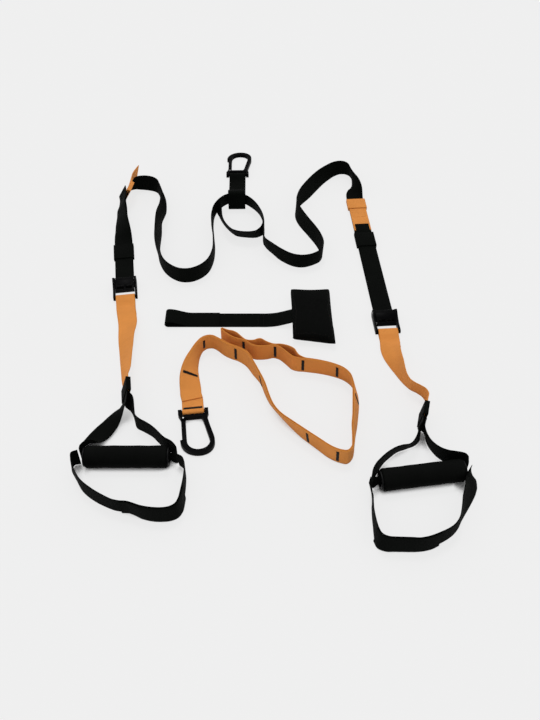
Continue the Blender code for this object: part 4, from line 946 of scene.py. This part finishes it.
class Ribbon:
    """A webbing node read back as a run of cross-sections, so that its weave can follow it."""

    THICKEST = 0.005
    STEP = 0.0028
    # The furthest that a corner lies from a cross-section's middle.
    FURTHEST = WEBBING_WIDTH * 0.8

    def __init__(self, shop: Workshop, node: str) -> None:
        """Reads a node's cross-sections, or keeps it for a plain copy where that fails.

        Args:
            shop: The frame and the finishes.
            node: The node.
        """
        self.shop = shop
        self.node = node
        bm = shop.copy_of(node)
        self.read = True
        try:
            self.rings = self._measure(BandReader(bm).corners())
            self._prove(bm)
        except (ValueError, StopIteration, AttributeError, IndexError) as fault:
            LOG.warning("%s is kept as a plain copy: %s", node, fault)
            self.read = False
            low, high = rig.box(node)
            run = high - low
            self.rings = [Ring(point, Vector((0, 1, 0)), Vector((0, 0, 1)), run.normalized(),
                               WEBBING_WIDTH, self.THICKEST, along)
                          for point, along in ((low, 0.0), (high, run.length))]
        bm.free()

    def _measure(self, corners: list[Corners]) -> list[Ring]:
        """Measures every cross-section.

        Args:
            corners: The four corners of each cross-section, in order round it.

        Returns:
            The rings, with their length along the ribbon.
        """
        corners = [four for four in corners if (four[1] - four[2]).length < self.THICKEST]
        middles = [sum(four, Vector()) / 4 for four in corners]
        rings: list[Ring] = []
        along = 0.0
        for k, (a, b, c, d) in enumerate(corners):
            if k:
                along += (middles[k] - middles[k - 1]).length
            before, after = middles[max(k - 1, 0)], middles[min(k + 1, len(middles) - 1)]
            side = (b + c - a - d) / 2
            up = (c + d - a - b) / 2
            rings.append(Ring(middles[k], side.normalized(), up.normalized(),
                              (after - before).normalized(), side.length, up.length, along))
        for k, ring in enumerate(rings[1:-1], 1):
            one, two = rings[k - 1], rings[k + 1]
            ring.tangent = (two.middle - one.middle) / (two.along - one.along)
        return rings

    def _prove(self, bm: Mesh) -> None:
        """Makes sure that the cross-sections reach the whole node.

        Args:
            bm: The node's merged mesh.
        """
        stops = [self.at(place).middle for place in self._places()]
        for vert in bm.verts:
            if min((vert.co - stop).length for stop in stops) > self.FURTHEST:
                raise ValueError("its cross-sections miss a part of it")

    @property
    def length(self) -> float:
        """The ribbon's length along its middle."""
        return self.rings[-1].along

    def at(self, along: float) -> Ring:
        """Returns the cross-section at a length along the ribbon.

        Args:
            along: Length from the start, in metres. Beyond the end it runs on straight.

        Returns:
            A ring on a smooth curve through its neighbours.
        """
        k = 0
        while k < len(self.rings) - 2 and self.rings[k + 1].along < along:
            k += 1
        one, two = self.rings[k], self.rings[k + 1]
        span = two.along - one.along
        t = (along - one.along) / span
        if 0.0 <= t <= 1.0:
            middle = ((2 * t ** 3 - 3 * t ** 2 + 1) * one.middle
                      + (t ** 3 - 2 * t ** 2 + t) * span * one.tangent
                      + (3 * t ** 2 - 2 * t ** 3) * two.middle
                      + (t ** 3 - t ** 2) * span * two.tangent)
        else:
            middle = one.middle.lerp(two.middle, t)
        part = min(max(t, 0.0), 1.0)
        return Ring(middle, one.across.lerp(two.across, part).normalized(),
                    one.normal.lerp(two.normal, part).normalized(),
                    one.tangent.lerp(two.tangent, part).normalized(),
                    one.width + (two.width - one.width) * part,
                    one.thickness + (two.thickness - one.thickness) * part, along)

    def nearest(self, point: Vector) -> float:
        """Finds the place on the ribbon that lies nearest to a point.

        Args:
            point: The point.

        Returns:
            Its length along the ribbon, in metres.
        """
        best = (math.inf, 0.0)
        for one, two in zip(self.rings, self.rings[1:]):
            run = two.middle - one.middle
            part = max(0.0, min(1.0, (point - one.middle).dot(run) / run.length_squared))
            gap = (point - one.middle - run * part).length
            best = min(best, (gap, one.along + (two.along - one.along) * part))
        return best[1]

    def side_facing(self, along: float, target: Vector) -> int:
        """Returns the sign of the face that looks towards a target."""
        ring = self.at(along)
        return 1 if ring.normal.dot(target - ring.middle) > 0 else -1

    def surface(self, along: float, across: float, side: int, rise: float) -> Vector:
        """Returns a point over the ribbon's face.

        Args:
            along: Length from the start, in metres.
            across: Distance from the middle line, in metres.
            side: The face, as a sign.
            rise: Height over that face, in metres.

        Returns:
            The point.
        """
        ring = self.at(along)
        return (ring.middle + ring.across * across
                + ring.normal * side * (ring.thickness / 2 + rise))

    def _places(self) -> list[float]:
        """Lists where the dressed ribbon gets a cross-section.

        Returns:
            Lengths along the ribbon, in metres.
        """
        places: list[float] = []
        for one, two in zip(self.rings, self.rings[1:]):
            count = max(1, math.ceil((two.along - one.along) / self.STEP))
            places += [one.along + (two.along - one.along) * k / count for k in range(count)]
        return places + [self.length]

    def dress(self, finish: Finish, slim: float = 1.0) -> None:
        """Replaces the node by a ribbon with rounded selvedges and a weave map.

        Args:
            finish: The webbing's finish.
            slim: Share of the node's thickness that it keeps, for a ply that swings past others.
        """
        if not self.read:
            self._copy(finish)
            return
        rings = [self.at(place) for place in self._places()]
        round_it = list(SECTION) + [(-a, -b) for a, b in SECTION]
        bm = bmesh.new()
        bmesh.ops.create_grid(bm, x_segments=len(rings) - 1, y_segments=len(round_it), size=0.5)
        along, across = map_layers(bm)
        for vert in bm.verts:
            ring = rings[round((vert.co.x + 0.5) * (len(rings) - 1))]
            share, height = round_it[round((vert.co.y + 0.5) * len(round_it)) % len(round_it)]
            vert[along] = ring.along
            vert[across] = share * ring.width / 2
            vert.co = (ring.middle + ring.across * share * ring.width / 2
                       + ring.normal * height * ring.thickness / 2 * slim)
        merge(bm)
        bmesh.ops.holes_fill(bm, edges=[e for e in bm.edges if e.is_boundary])
        bmesh.ops.recalc_face_normals(bm, faces=bm.faces)
        ends = [f for f in bm.faces if len(f.verts) > 4]
        sharp = {e for f in ends for e in f.edges}
        bmesh.ops.triangulate(bm, faces=ends)
        for edge in sharp:
            edge.smooth = False
        lay_map(bm, along, across)
        self.shop.swap(bm, self.node, "_woven", finish)

    def _copy(self, finish: Finish) -> None:
        """Replaces the node by a plain copy whose weave lies flat.

        Args:
            finish: The webbing's finish.
        """
        bm = self.shop.copy_of(self.node)
        along, across = map_layers(bm)
        for vert in bm.verts:
            vert[along] = vert.co.x + vert.co.y
            vert[across] = vert.co.z
        lay_map(bm, along, across)
        self.shop.swap(bm, self.node, "_woven", finish, smooth=False)


@dataclass
class Needle:
    """Sews tacks and rows of stitches on ribbons, and keeps them for one piece."""

    thread_width: float = 0.0009
    stitch: float = 0.0034
    stitch_share: float = 0.42
    proud: float = 0.00035
    tack_width: float = 0.0055
    tack_top_share: float = 0.8
    length_cuts: int = 11
    width_cuts: int = 3
    zigzag: float = 0.0002
    zigzag_step: float = 0.0048

    def __post_init__(self) -> None:
        """Starts an empty seam."""
        self.bm = bmesh.new()
        self.along, self.across = map_layers(self.bm)

    def _bend(self, verts: list[Vert], ribbon: Ribbon, along: float, across: float,
              side: int) -> None:
        """Lays vertices, drawn flat round the origin, over a ribbon's face, at true size.

        Args:
            verts: The vertices.
            ribbon: The ribbon.
            along: Where the origin comes to lie along it, in metres.
            across: Where it comes to lie across it.
            side: The face, as a sign.
        """
        for vert in verts:
            x, y, z = vert.co
            vert[self.along] = x
            vert[self.across] = y
            here = ribbon.surface(along, across + y, side, 0.0)
            there = ribbon.surface(along + x, across + y, side, z)
            ahead = there - ribbon.surface(along + x, across + y, side, 0.0)
            run = there - ahead - here
            stretch = abs(x) / run.length if run.length > TINY else 1.0
            vert.co = here + run * stretch + ahead

    def tack(self, ribbon: Ribbon, along: float, side: int, length: float) -> None:
        """Sews one bar tack across a ribbon.

        Args:
            ribbon: The ribbon.
            along: Where it lies along the ribbon, in metres.
            side: The face, as a sign.
            length: Its length across the ribbon.
        """
        if not ribbon.read:
            return
        bm, width, before = self.bm, self.tack_width, len(self.bm.verts)
        verts = bmesh.ops.create_cube(bm, size=1.0)["verts"]
        bmesh.ops.scale(bm, vec=(width, length, self.proud * 2), verts=verts)
        upright = {e for v in verts for e in v.link_edges
                   if abs(e.verts[0].co.y - e.verts[1].co.y) > length / 2}
        bmesh.ops.subdivide_edges(bm, edges=list(upright), cuts=self.length_cuts,
                                  use_grid_fill=True)
        bm.verts.ensure_lookup_table()
        level = {e for v in bm.verts[before:] for e in v.link_edges
                 if abs(e.verts[0].co.x - e.verts[1].co.x) > width / 2}
        bmesh.ops.subdivide_edges(bm, edges=list(level), cuts=self.width_cuts,
                                  use_grid_fill=True)
        bm.verts.ensure_lookup_table()
        verts = bm.verts[before:]
        for vert in verts:
            vert.co.x += self.zigzag * math.sin(vert.co.y * math.pi / self.zigzag_step)
            if vert.co.z > 0:
                vert.co.x *= self.tack_top_share
        self._bend(verts, ribbon, along, 0.0, side)

    def row(self, ribbon: Ribbon, side: int, start: tuple[float, float],
            end: tuple[float, float]) -> None:
        """Sews a straight row of stitches between two places on a ribbon.

        Args:
            ribbon: The ribbon.
            side: The face, as a sign.
            start: Along and across of the first end, in metres.
            end: Along and across of the other end, in metres.
        """
        if not ribbon.read:
            return
        run = Vector((end[0] - start[0], end[1] - start[1]))
        count = max(1, int(run.length / self.stitch))
        turn = Matrix.Rotation(math.atan2(run.y, run.x), 3, "Z")
        size = (run.length / count * self.stitch_share, self.thread_width / 2, self.proud)
        for k in range(count):
            part = (k + 0.5) / count
            self._bend(add_stitch(self.bm, size, turn), ribbon, start[0] + run.x * part,
                       start[1] + run.y * part, side)

    def cross_row(self, ribbon: Ribbon, side: int, along: float) -> None:
        """Sews a row straight across a ribbon."""
        self.row(ribbon, side, (along, -ROW_HALF), (along, ROW_HALF))

    def box(self, ribbon: Ribbon, side: int, start: float, end: float,
            half: float = ROW_HALF, crossed: bool = True) -> None:
        """Sews a box, crossed or open, on a ribbon.

        Args:
            ribbon: The ribbon.
            side: The face, as a sign.
            start: Where the box starts along the ribbon.
            end: Where it ends.
            half: Half of its width across.
            crossed: Whether its diagonals are sewn too.
        """
        corners = [(start, -half), (end, -half), (end, half), (start, half)]
        lines = list(zip(corners, corners[1:] + corners[:1]))
        for one, two in lines + (list(zip(corners, corners[2:])) if crossed else []):
            self.row(ribbon, side, one, two)

    def finish(self, shop: Workshop, name: str, node: str, finish: Finish) -> None:
        """Ends the seam as one piece on a node's body, if anything was sewn."""
        if self.bm.verts:
            lay_map(self.bm, self.along, self.across)
            shop.place(self.bm, name, shop.body_of(node), finish)


@dataclass
class Sleeve:
    """A short webbing band that closes round other plies."""

    shop: Workshop
    node: str
    turn: float = 0.6
    rounding: float = 0.0004
    square: float = 0.3
    weave_share: float = 0.9

    def dress(self, finish: Finish) -> None:
        """Replaces the node by a band with rounded edges, its weave running round the strap.

        Args:
            finish: The webbing's finish.
        """
        bm = self.shop.copy_of(self.node)
        middle = sum((v.co for v in bm.verts), Vector()) / len(bm.verts)
        flatten(bm)
        longest = sorted(bm.edges, key=lambda e: -e.calc_length())
        ways = [(e.verts[1].co - e.verts[0].co).normalized() for e in longest]
        wide = ways[0]
        run = next(way for way in ways if abs(way.dot(wide)) < self.square)
        round_off(bm, self.turn, self.rounding, FINE_STEPS)
        along, across = map_layers(bm)
        for vert in bm.verts:
            vert[along] = (vert.co - middle).dot(wide)
            vert[across] = (vert.co - middle).dot(run) * self.weave_share
        lay_map(bm, along, across)
        piece = self.shop.swap(bm, self.node, "_woven", finish)
        piece.data.set_sharp_from_angle(angle=BAND_SHADE_TURN)


# ---------------------------------------------------------------- sub-assemblies


@dataclass
class MainStrap:
    """The black strap, its equaliser loop, anchor tab, keepers and orange adjuster tabs."""

    shop: Workshop
    eye: Vector
    black: tuple[str, ...] = ("main_strap_left", "main_strap_middle", "main_strap_right",
                              "equaliser_loop", "anchor_tab")
    orange: tuple[str, ...] = ("left_adjuster_tab", "right_adjuster_tab")
    sleeves: tuple[tuple[str, Finish], ...] = (
        ("left_keeper", Finish.BLACK_WEBBING), ("right_keeper", Finish.BLACK_WEBBING),
        ("left_adjuster_band", Finish.ORANGE_WEBBING),
        ("right_adjuster_band", Finish.ORANGE_WEBBING))
    tab_row_shares: tuple[float, ...] = (0.22, 0.62)
    tab_row_gap: float = 0.004
    box_shares: tuple[float, float] = (0.42, 0.9)
    box_half: float = 0.0135

    def build(self) -> None:
        """Dresses every ribbon and band, and sews them."""
        seam = Needle()
        for node in self.black:
            ribbon = Ribbon(self.shop, node)
            if node == "anchor_tab":
                self._sew_tab(seam, ribbon)
            ribbon.dress(Finish.BLACK_WEBBING)
        seam.finish(self.shop, "anchor_tab_stitching", "anchor_tab", Finish.BLACK_THREAD)
        light = Needle()
        for node in self.orange:
            ribbon = Ribbon(self.shop, node)
            start, end = (ribbon.length * share for share in self.box_shares)
            side = ribbon.side_facing(ribbon.length / 2, self.eye)
            light.box(ribbon, side, start, end, half=self.box_half, crossed=False)
            ribbon.dress(Finish.ORANGE_WEBBING)
        light.finish(self.shop, "adjuster_tab_stitching", "left_adjuster_tab",
                     Finish.ORANGE_THREAD)
        for node, finish in self.sleeves:
            Sleeve(self.shop, node).dress(finish)

    def _sew_tab(self, seam: Needle, ribbon: Ribbon) -> None:
        """Sews two double rows across the outer face of the anchor tab.

        Args:
            seam: What it is sewn with.
            ribbon: The tab.
        """
        top = max(ribbon.rings, key=lambda r: r.middle.z - abs(r.along - 0.5 * ribbon.length))
        for share in self.tab_row_shares:
            place = ribbon.length * share
            side = ribbon.side_facing(place, top.middle + Vector((0, 0, 1)))
            seam.cross_row(ribbon, side, place)
            seam.cross_row(ribbon, side, place + self.tab_row_gap)


@dataclass
class CamBuckle:
    """A cam buckle: coated frame and lever, zinc pin and spring."""

    shop: Workshop
    side: str
    frame_rounding: float = 0.0005
    lever_rounding: float = 0.0004

    def build(self) -> None:
        """Dresses the buckle's four pieces."""
        self.shop.soften(self.side + "_buckle_frame", Finish.COATED_STEEL, self.frame_rounding)
        self.shop.soften(self.side + "_cam_lever", Finish.COATED_STEEL, self.lever_rounding)
        for part in ("_cam_pin", "_cam_spring"):
            self.shop.recoat(self.side + part, Finish.STEEL)


@dataclass
class Carabiner:
    """A flat forged carabiner with its gate and the gate's pin."""

    shop: Workshop
    owner: str
    firm: float = 0.034
    body_rounding: float = 0.0012
    gate_rounding: float = 0.0009

    def build(self) -> None:
        """Dresses the body, whose bar keeps its facets for the loop on it, gate and pin."""
        name = self.owner + "_carabiner_"
        bar, _ = self.shop.joint(self.owner + "_clip_swing")
        self.shop.soften(name + "body", Finish.COATED_STEEL, self.body_rounding, FINE_STEPS,
                         levels=1, firm=(bar, self.firm))
        self.shop.soften(name + "gate", Finish.COATED_STEEL, self.gate_rounding, FINE_STEPS)
        self.shop.recoat(name + "gate_pin", Finish.STEEL)


@dataclass
class Handle:
    """A padded grip on its webbing triangle, with a foot cradle below."""

    shop: Workshop
    side: str
    eye: Vector
    slim: float = 0.8
    cradle_rows: float = 0.045
    edge_rows: tuple[float, float] = (0.042, 0.0150)
    riser_box: tuple[float, float] = (0.016, 0.052)
    end_clearance: float = 0.004
    cap_rounding: float = 0.0007
    roll: float = 0.0034
    roll_steps: int = 6
    # Each step's distance from the rolled end and its depth in the foam.
    groove: tuple[tuple[float, float], ...] = (
        (0.0, 0.0), (0.0035, 0.0), (0.0050, 0.0006), (0.0065, 0.0), (0.012, 0.0001))
    swell: float = 0.0003
    swell_start: float = 0.018
    swell_steps: int = 7
    half_waves: int = 6
    facets: int = 64

    def build(self) -> None:
        """Dresses the webbing, the foam and the caps, and sews the webbing."""
        self._webbing()
        self._foam()
        for end in ("_grip_cap_left", "_grip_cap_right"):
            self.shop.soften(self.side + end, Finish.NYLON, self.cap_rounding, FINE_STEPS)
        self.shop.recoat(self.side + "_grip_tube", Finish.NYLON)

    def _webbing(self) -> None:
        """Dresses the riser, the legs, the cradle and its lining."""
        riser, strap, cradle, lining = (
            Ribbon(self.shop, self.side + part)
            for part in ("_riser_strap", "_handle_strap", "_foot_cradle", "_cradle_lining"))
        self._sew_cradle(cradle)
        self._sew_riser(riser)
        riser.dress(Finish.ORANGE_WEBBING)
        strap.dress(Finish.BLACK_WEBBING)
        cradle.dress(Finish.BLACK_WEBBING, self.slim)
        lining.dress(Finish.BLACK_WEBBING)
        Sleeve(self.shop, self.side + "_apex_wrap").dress(Finish.BLACK_WEBBING)

    def _sew_cradle(self, cradle: Ribbon) -> None:
        """Sews the cradle's lined middle: rows across on both faces, and along its edges.

        Args:
            cradle: The cradle.
        """
        seam = Needle()
        middle = cradle.length / 2
        for place in (middle - self.cradle_rows, middle + self.cradle_rows):
            for side in (-1, 1):
                seam.cross_row(cradle, side, place)
        side = cradle.side_facing(middle, self.eye)
        half, edge = self.edge_rows
        for across in (-edge, edge):
            seam.row(cradle, side, (middle - half, across), (middle + half, across))
        seam.finish(self.shop, self.side + "_cradle_stitching", cradle.node,
                    Finish.BLACK_THREAD)

    def _sew_riser(self, riser: Ribbon) -> None:
        """Sews a crossed box where the riser's end is folded under it at the buckle.

        Args:
            riser: The riser.
        """
        seam = Needle()
        bar, _ = self.shop.joint(self.side + "_riser_swing")
        turn = riser.nearest(bar)
        near, far = self.riser_box
        for start, end in ((turn + near, turn + far), (turn - far, turn - near)):
            if start > self.end_clearance and end < riser.length - self.end_clearance:
                middle = riser.at((start + end) / 2)
                up = 1 if middle.normal.z > 0 else -1
                seam.box(riser, up if middle.middle.z > bar.z else -up, start, end)
        seam.finish(self.shop, self.side + "_riser_stitching", riser.node,
                    Finish.ORANGE_THREAD)

    def _profile(self, low: float, high: float, inner: float,
                 outer: float) -> list[tuple[float, float]]:
        """Draws the foam's outline, with rolled ends and a shallow groove near each.

        Args:
            low: Where the foam starts along its axis, in metres.
            high: Where it ends.
            inner: Its inner radius.
            outer: Its outer radius.

        Returns:
            Places along the axis with the radius at each.
        """
        roll = self.roll
        profile = [(low, inner), (low, outer - roll)]
        for k in range(1, self.roll_steps):
            turn = math.pi / 2 * k / self.roll_steps
            profile.append((low + roll * (1 - math.cos(turn)),
                            outer - roll * (1 - math.sin(turn))))
        profile += [(low + (roll + place), outer - depth) for place, depth in self.groove]
        end = [(low + high - a, r) for a, r in reversed(profile)]
        for k in range(1, self.swell_steps):
            share = k / self.swell_steps
            wave = self.swell * math.cos(share * math.pi * self.half_waves)
            profile.append((low + self.swell_start + (high - low - self.swell_start * 2) * share,
                            outer - self.swell + wave))
        return profile + end

    def _foam(self) -> None:
        """Spins the foam sleeve about the grip's axis."""
        node = self.side + "_foam_grip"
        centre, axis = self.shop.joint(self.side + "_grip_spin")
        points = [v.co - centre for v in self.shop.frame["nodes"][node].data.vertices]
        places = [p.dot(axis) for p in points]
        radii = [(p - axis * place).length for p, place in zip(points, places)]
        profile = self._profile(min(places), max(places), min(radii), max(radii))
        side = axis.orthogonal().normalized()
        bm = bmesh.new()
        verts = [bm.verts.new(centre + axis * a + side * r) for a, r in profile]
        edges = [bm.edges.new(pair) for pair in zip(verts, verts[1:] + verts[:1])]
        bmesh.ops.spin(bm, geom=verts + edges, cent=centre, axis=axis, angle=math.tau,
                       steps=self.facets, use_merge=True)
        merge(bm)
        bmesh.ops.recalc_face_normals(bm, faces=bm.faces)
        foam = self.shop.swap(bm, node, "_foamed", Finish.FOAM)
        foam.data.set_sharp_from_angle(angle=FOAM_SHADE_TURN)
        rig.padded(foam, fill=1.0)


@dataclass
class DoorAnchor:
    """The stuffed door pad and its flat strap with an end loop."""

    shop: Workshop
    eye: Vector
    row_shares: tuple[float, ...] = (0.16, 0.19)
    voxel: float = 0.0035
    cap: float = 0.0028
    crown: float = 0.002
    smoothing: float = 0.3
    sag: float = 0.005
    # How far each corner is pulled out, in millimetres.
    ears: dict[tuple[int, int], tuple[float, float]] = field(default_factory=lambda: {
        (-1, 1): (-5.0, 2.5), (1, 1): (1.0, 2.5), (-1, -1): (-1.5, -3.0), (1, -1): (3.0, -7.5)})
    pressure: float = 4.0
    stiffness: float = 2.0
    last_frame: int = 14
    rays: int = 180
    over: float = 0.05
    steepest: float = 0.35
    widest: float = 0.12
    narrowest: float = 0.02
    ray_step: float = 0.0015
    inset: float = 0.007
    stitch: float = 0.0036
    stitch_size: tuple[float, float, float] = (0.0015, 0.00045, 0.0003)

    def build(self) -> None:
        """Dresses the strap and stuffs the pad."""
        strap = Ribbon(self.shop, "door_anchor_strap")
        seam = Needle()
        for share in self.row_shares:
            along = strap.length * share
            seam.cross_row(strap, strap.side_facing(along, self.eye), along)
        seam.finish(self.shop, "door_strap_stitching", strap.node, Finish.BLACK_THREAD)
        strap.dress(Finish.BLACK_WEBBING)
        self._pad()

    def _pad(self) -> None:
        """Swells the pad's cover a little with a pressure simulation, then sews its rim."""
        node = "door_anchor_pad"
        cover = as_object("pad_cover", self.shop.copy_of(node))
        remesh = cover.modifiers.new("remesh", "REMESH")
        remesh.mode = "VOXEL"
        remesh.voxel_size = self.voxel
        self._bake(cover)
        rest = [v.co.copy() for v in cover.data.vertices]
        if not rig.quick():
            self._swell(cover)
        low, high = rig.box(node)
        for vert, start in zip(cover.data.vertices, rest):
            move = vert.co - start
            if move.length > self.cap:
                vert.co = start + move.normalized() * self.cap
            vert.co.z = min(max(vert.co.z, low.z), high.z + self.crown)
        done = bmesh.new()
        done.from_mesh(cover.data)
        bpy.data.objects.remove(cover, do_unlink=True)
        bmesh.ops.smooth_vert(done, verts=done.verts, factor=self.smoothing, use_axis_x=True,
                              use_axis_y=True, use_axis_z=True)
        self._settle(done, low, high)
        pad = self.shop.swap(done, node, "_stuffed", Finish.PACK_CLOTH, levels=1)
        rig.padded(pad, fill=0.7)
        self._sew_rim(pad, low, high)

    def _settle(self, bm: Mesh, low: Vector, high: Vector) -> None:
        """Pulls the cover's corners out into soft ears, as the stuffing leaves them.

        Args:
            bm: The cover's mesh.
            low: Lowest corner of its node.
            high: Highest corner of its node.
        """
        centre, half = (low + high) / 2, (high - low) / 2
        for vert in bm.verts:
            u = max(-1.0, min(1.0, (vert.co.x - centre.x) / half.x))
            v = max(-1.0, min(1.0, (vert.co.y - centre.y) / half.y))
            pull = sum(((1 + a * u) * (1 + b * v) / 4 * Vector((*ear, 0.0)) / MM
                        for (a, b), ear in self.ears.items()), Vector())
            pull.y -= self.sag * max(v, 0.0) ** 3 * (1 - u * u)
            vert.co += pull

    def _bake(self, obj: Object) -> None:
        """Applies an object's modifiers to its mesh.

        Args:
            obj: The object.
        """
        graph = bpy.context.evaluated_depsgraph_get()
        graph.update()
        baked = bpy.data.meshes.new_from_object(obj.evaluated_get(graph))
        obj.modifiers.clear()
        obj.data = baked

    def _swell(self, cover: Object) -> None:
        """Runs the cloth with pressure and applies its result.

        Args:
            cover: The pad's cover.
        """
        cloth = cover.modifiers.new("cloth", "CLOTH")
        cloth.settings.use_pressure = True
        cloth.settings.uniform_pressure_force = self.pressure
        cloth.settings.effector_weights.gravity = 0.0
        cloth.settings.bending_stiffness = self.stiffness
        for frame in range(1, self.last_frame + 1):
            bpy.context.scene.frame_set(frame)
        self._bake(cover)
        bpy.context.scene.frame_set(1)

    def _sew_rim(self, pad: Object, low: Vector, high: Vector) -> None:
        """Sews a row of stitches on the pad's top, set in from its outline.

        Args:
            pad: The stuffed pad.
            low: Lowest corner of its node.
            high: Highest corner of its node.
        """
        tree = BVHTree.FromObject(pad, bpy.context.evaluated_depsgraph_get())
        top = high.z + self.over
        down = Vector((0, 0, -1))
        centre = (low + high) / 2
        outline: list[Vector] = []
        for k in range(self.rays):
            turn = math.tau * k / self.rays
            way = Vector((math.cos(turn), math.sin(turn), 0))
            reach = self.widest
            while reach > self.narrowest:
                start = centre + way * reach
                if tree.ray_cast(Vector((start.x, start.y, top)), down)[0] is not None:
                    break
                reach -= self.ray_step
            outline.append(centre + way * (reach - self.inset))
        bm = bmesh.new()
        along, across = map_layers(bm)
        spare = 0.0
        for one, two in zip(outline, outline[1:] + outline[:1]):
            step = two - one
            spare += step.length
            if spare < self.stitch:
                continue
            spare = 0.0
            hit, normal, _, _ = tree.ray_cast(Vector((one.x, one.y, top)), down)
            if hit is None or normal.z < self.steepest:
                continue
            forward = (step - normal * step.dot(normal)).normalized()
            turn = Matrix((forward, normal.cross(forward), normal)).transposed()
            bmesh.ops.translate(bm, vec=hit, verts=add_stitch(bm, self.stitch_size, turn))
        lay_map(bm, along, across)
        self.shop.place(bm, "door_pad_stitching", self.shop.body_of("door_anchor_pad"),
                        Finish.BLACK_THREAD)


class Ply(Enum):
    """The two plies of the extension strap."""

    OUTER = "extension_strap_outer"
    INNER = "extension_strap_inner"


@dataclass(frozen=True)
class TackPlace:
    """Where a bar tack lies: its ply, the point nearest to it, and its length."""

    ply: Ply
    x_mm: float
    y_mm: float
    z_mm: float
    length_mm: float = 27.0


@dataclass
class ExtensionStrap:
    """The orange strap with pockets, sewn with dark bar tacks."""

    shop: Workshop
    eye: Vector
    proud: float = 0.0008
    near: float = 0.006
    tacks: tuple[TackPlace, ...] = (
        TackPlace(Ply.INNER, -129.8, -270.5, 11.5, 33.0),
        TackPlace(Ply.OUTER, -140.2, -194.2, 18.8, 30.0),
        TackPlace(Ply.OUTER, -117.8, -123.3, 23.7, 20.0),
        TackPlace(Ply.OUTER, -58.4, -147.5, 21.0),
        TackPlace(Ply.INNER, -44.1, -129.8, 24.7),
        TackPlace(Ply.INNER, 14.3, -142.8, 23.5),
        TackPlace(Ply.INNER, 65.1, -176.2, 20.7),
        TackPlace(Ply.INNER, 126.8, -192.5, 15.0),
        TackPlace(Ply.OUTER, 150.2, -257.0, 20.0),
        TackPlace(Ply.OUTER, -12.2, -214.8, 20.0),
        TackPlace(Ply.OUTER, 67.9, -341.8, 20.0),
        TackPlace(Ply.OUTER, 116.6, -379.7, 18.9),
    )

    def build(self) -> None:
        """Dresses both plies and sews the tacks through them."""
        plies = {ply: Ribbon(self.shop, ply.value) for ply in Ply}
        seam = Needle(proud=self.proud)
        for tack in self.tacks:
            length = tack.length_mm / MM
            ribbon = plies[tack.ply]
            along = ribbon.nearest(Vector((tack.x_mm, tack.y_mm, tack.z_mm)) / MM)
            seam.tack(ribbon, along, ribbon.side_facing(along, self.eye), length)
            other = plies[Ply.INNER if tack.ply is Ply.OUTER else Ply.OUTER]
            middle = ribbon.at(along).middle
            back = other.nearest(middle)
            behind = other.at(back)
            away = behind.middle - middle
            if away.length < self.near:
                seam.tack(other, back, 1 if behind.normal.dot(away) > 0 else -1, length)
        seam.finish(self.shop, "extension_bar_tacks", Ply.OUTER.value, Finish.BLACK_THREAD)
        for ribbon in plies.values():
            ribbon.dress(Finish.ORANGE_WEBBING)


# ---------------------------------------------------------------- studio


@dataclass
class Studio:
    """The pale floor, the soft light and the camera at the photograph's angle."""

    tilt: float = 43.1
    lens: float = 39.25
    sensor: float = 36.0
    height: float = 1.0728
    back: float = -1.14854
    aside: float = 0.00509
    floor_half: float = 6.0
    floor_gap: float = 0.0001
    paper: StudioPaper = StudioPaper("studio_paper", "#EFEFEF", 0.88)
    sky: float = 0.77
    sun: float = 0.82
    sun_angle: float = 14.0
    sun_turn: tuple[float, float] = (-20.0, -4.0)

    @property
    def eye(self) -> Vector:
        """Where the camera stands."""
        return Vector((self.aside, self.back, self.height))

    def build(self) -> None:
        """Builds the floor, the lamps and the camera."""
        self._floor()
        self._light()
        self._camera()

    def _floor(self) -> None:
        """Lays the paper floor under the set."""
        bm = bmesh.new()
        bmesh.ops.create_grid(bm, x_segments=1, y_segments=1, size=self.floor_half)
        bmesh.ops.translate(bm, vec=(0, 0, -self.floor_gap), verts=bm.verts)
        floor = as_object("floor", bm)
        floor.data.materials.append(self.paper.build())
        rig.stage(floor)

    def _light(self) -> None:
        """Sets an even sky and one soft high lamp."""
        world = bpy.data.worlds.new("sky")
        bpy.context.scene.world = world
        world.use_nodes = True
        sky = world.node_tree.nodes["Background"]
        sky.inputs["Color"].default_value = (1.0, 1.0, 1.0, 1.0)
        sky.inputs["Strength"].default_value = self.sky
        lamp = bpy.data.lights.new("high_soft_lamp", "SUN")
        lamp.energy = self.sun
        lamp.angle = math.radians(self.sun_angle)
        holder = new_object("high_soft_lamp", lamp)
        holder.rotation_euler = (*map(math.radians, self.sun_turn), 0)

    def _camera(self) -> None:
        """Sets the camera and makes it the scene's."""
        data = bpy.data.cameras.new("camera")
        data.sensor_fit = "VERTICAL"
        data.sensor_height = self.sensor
        data.lens = self.lens
        camera = new_object("camera", data)
        camera.location = self.eye
        camera.rotation_euler = (math.radians(self.tilt), 0, 0)
        bpy.context.scene.camera = camera
        bpy.context.scene.view_settings.view_transform = "Standard"


def plain_box() -> list[list[float]]:
    """Returns the shown object's box as plain numbers."""
    return [[round(float(x), 6) for x in corner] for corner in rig.bounds()]


def main() -> None:
    """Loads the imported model, dresses it and lights it."""
    logging.basicConfig(level=logging.INFO, format="%(name)s: %(message)s")
    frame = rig.load()
    before = plain_box()
    studio = Studio()
    studio.build()
    shop = Workshop(frame)
    MainStrap(shop, studio.eye).build()
    for side in ("left", "right"):
        CamBuckle(shop, side).build()
        Handle(shop, side, studio.eye).build()
    for owner in ("anchor", "extension"):
        Carabiner(shop, owner).build()
    DoorAnchor(shop, studio.eye).build()
    ExtensionStrap(shop, studio.eye).build()
    with open(SIZE_FILE, "w", encoding="utf-8") as out:
        json.dump({"cad": before, "visual": plain_box()}, out)


if __name__ == "__main__":
    main()
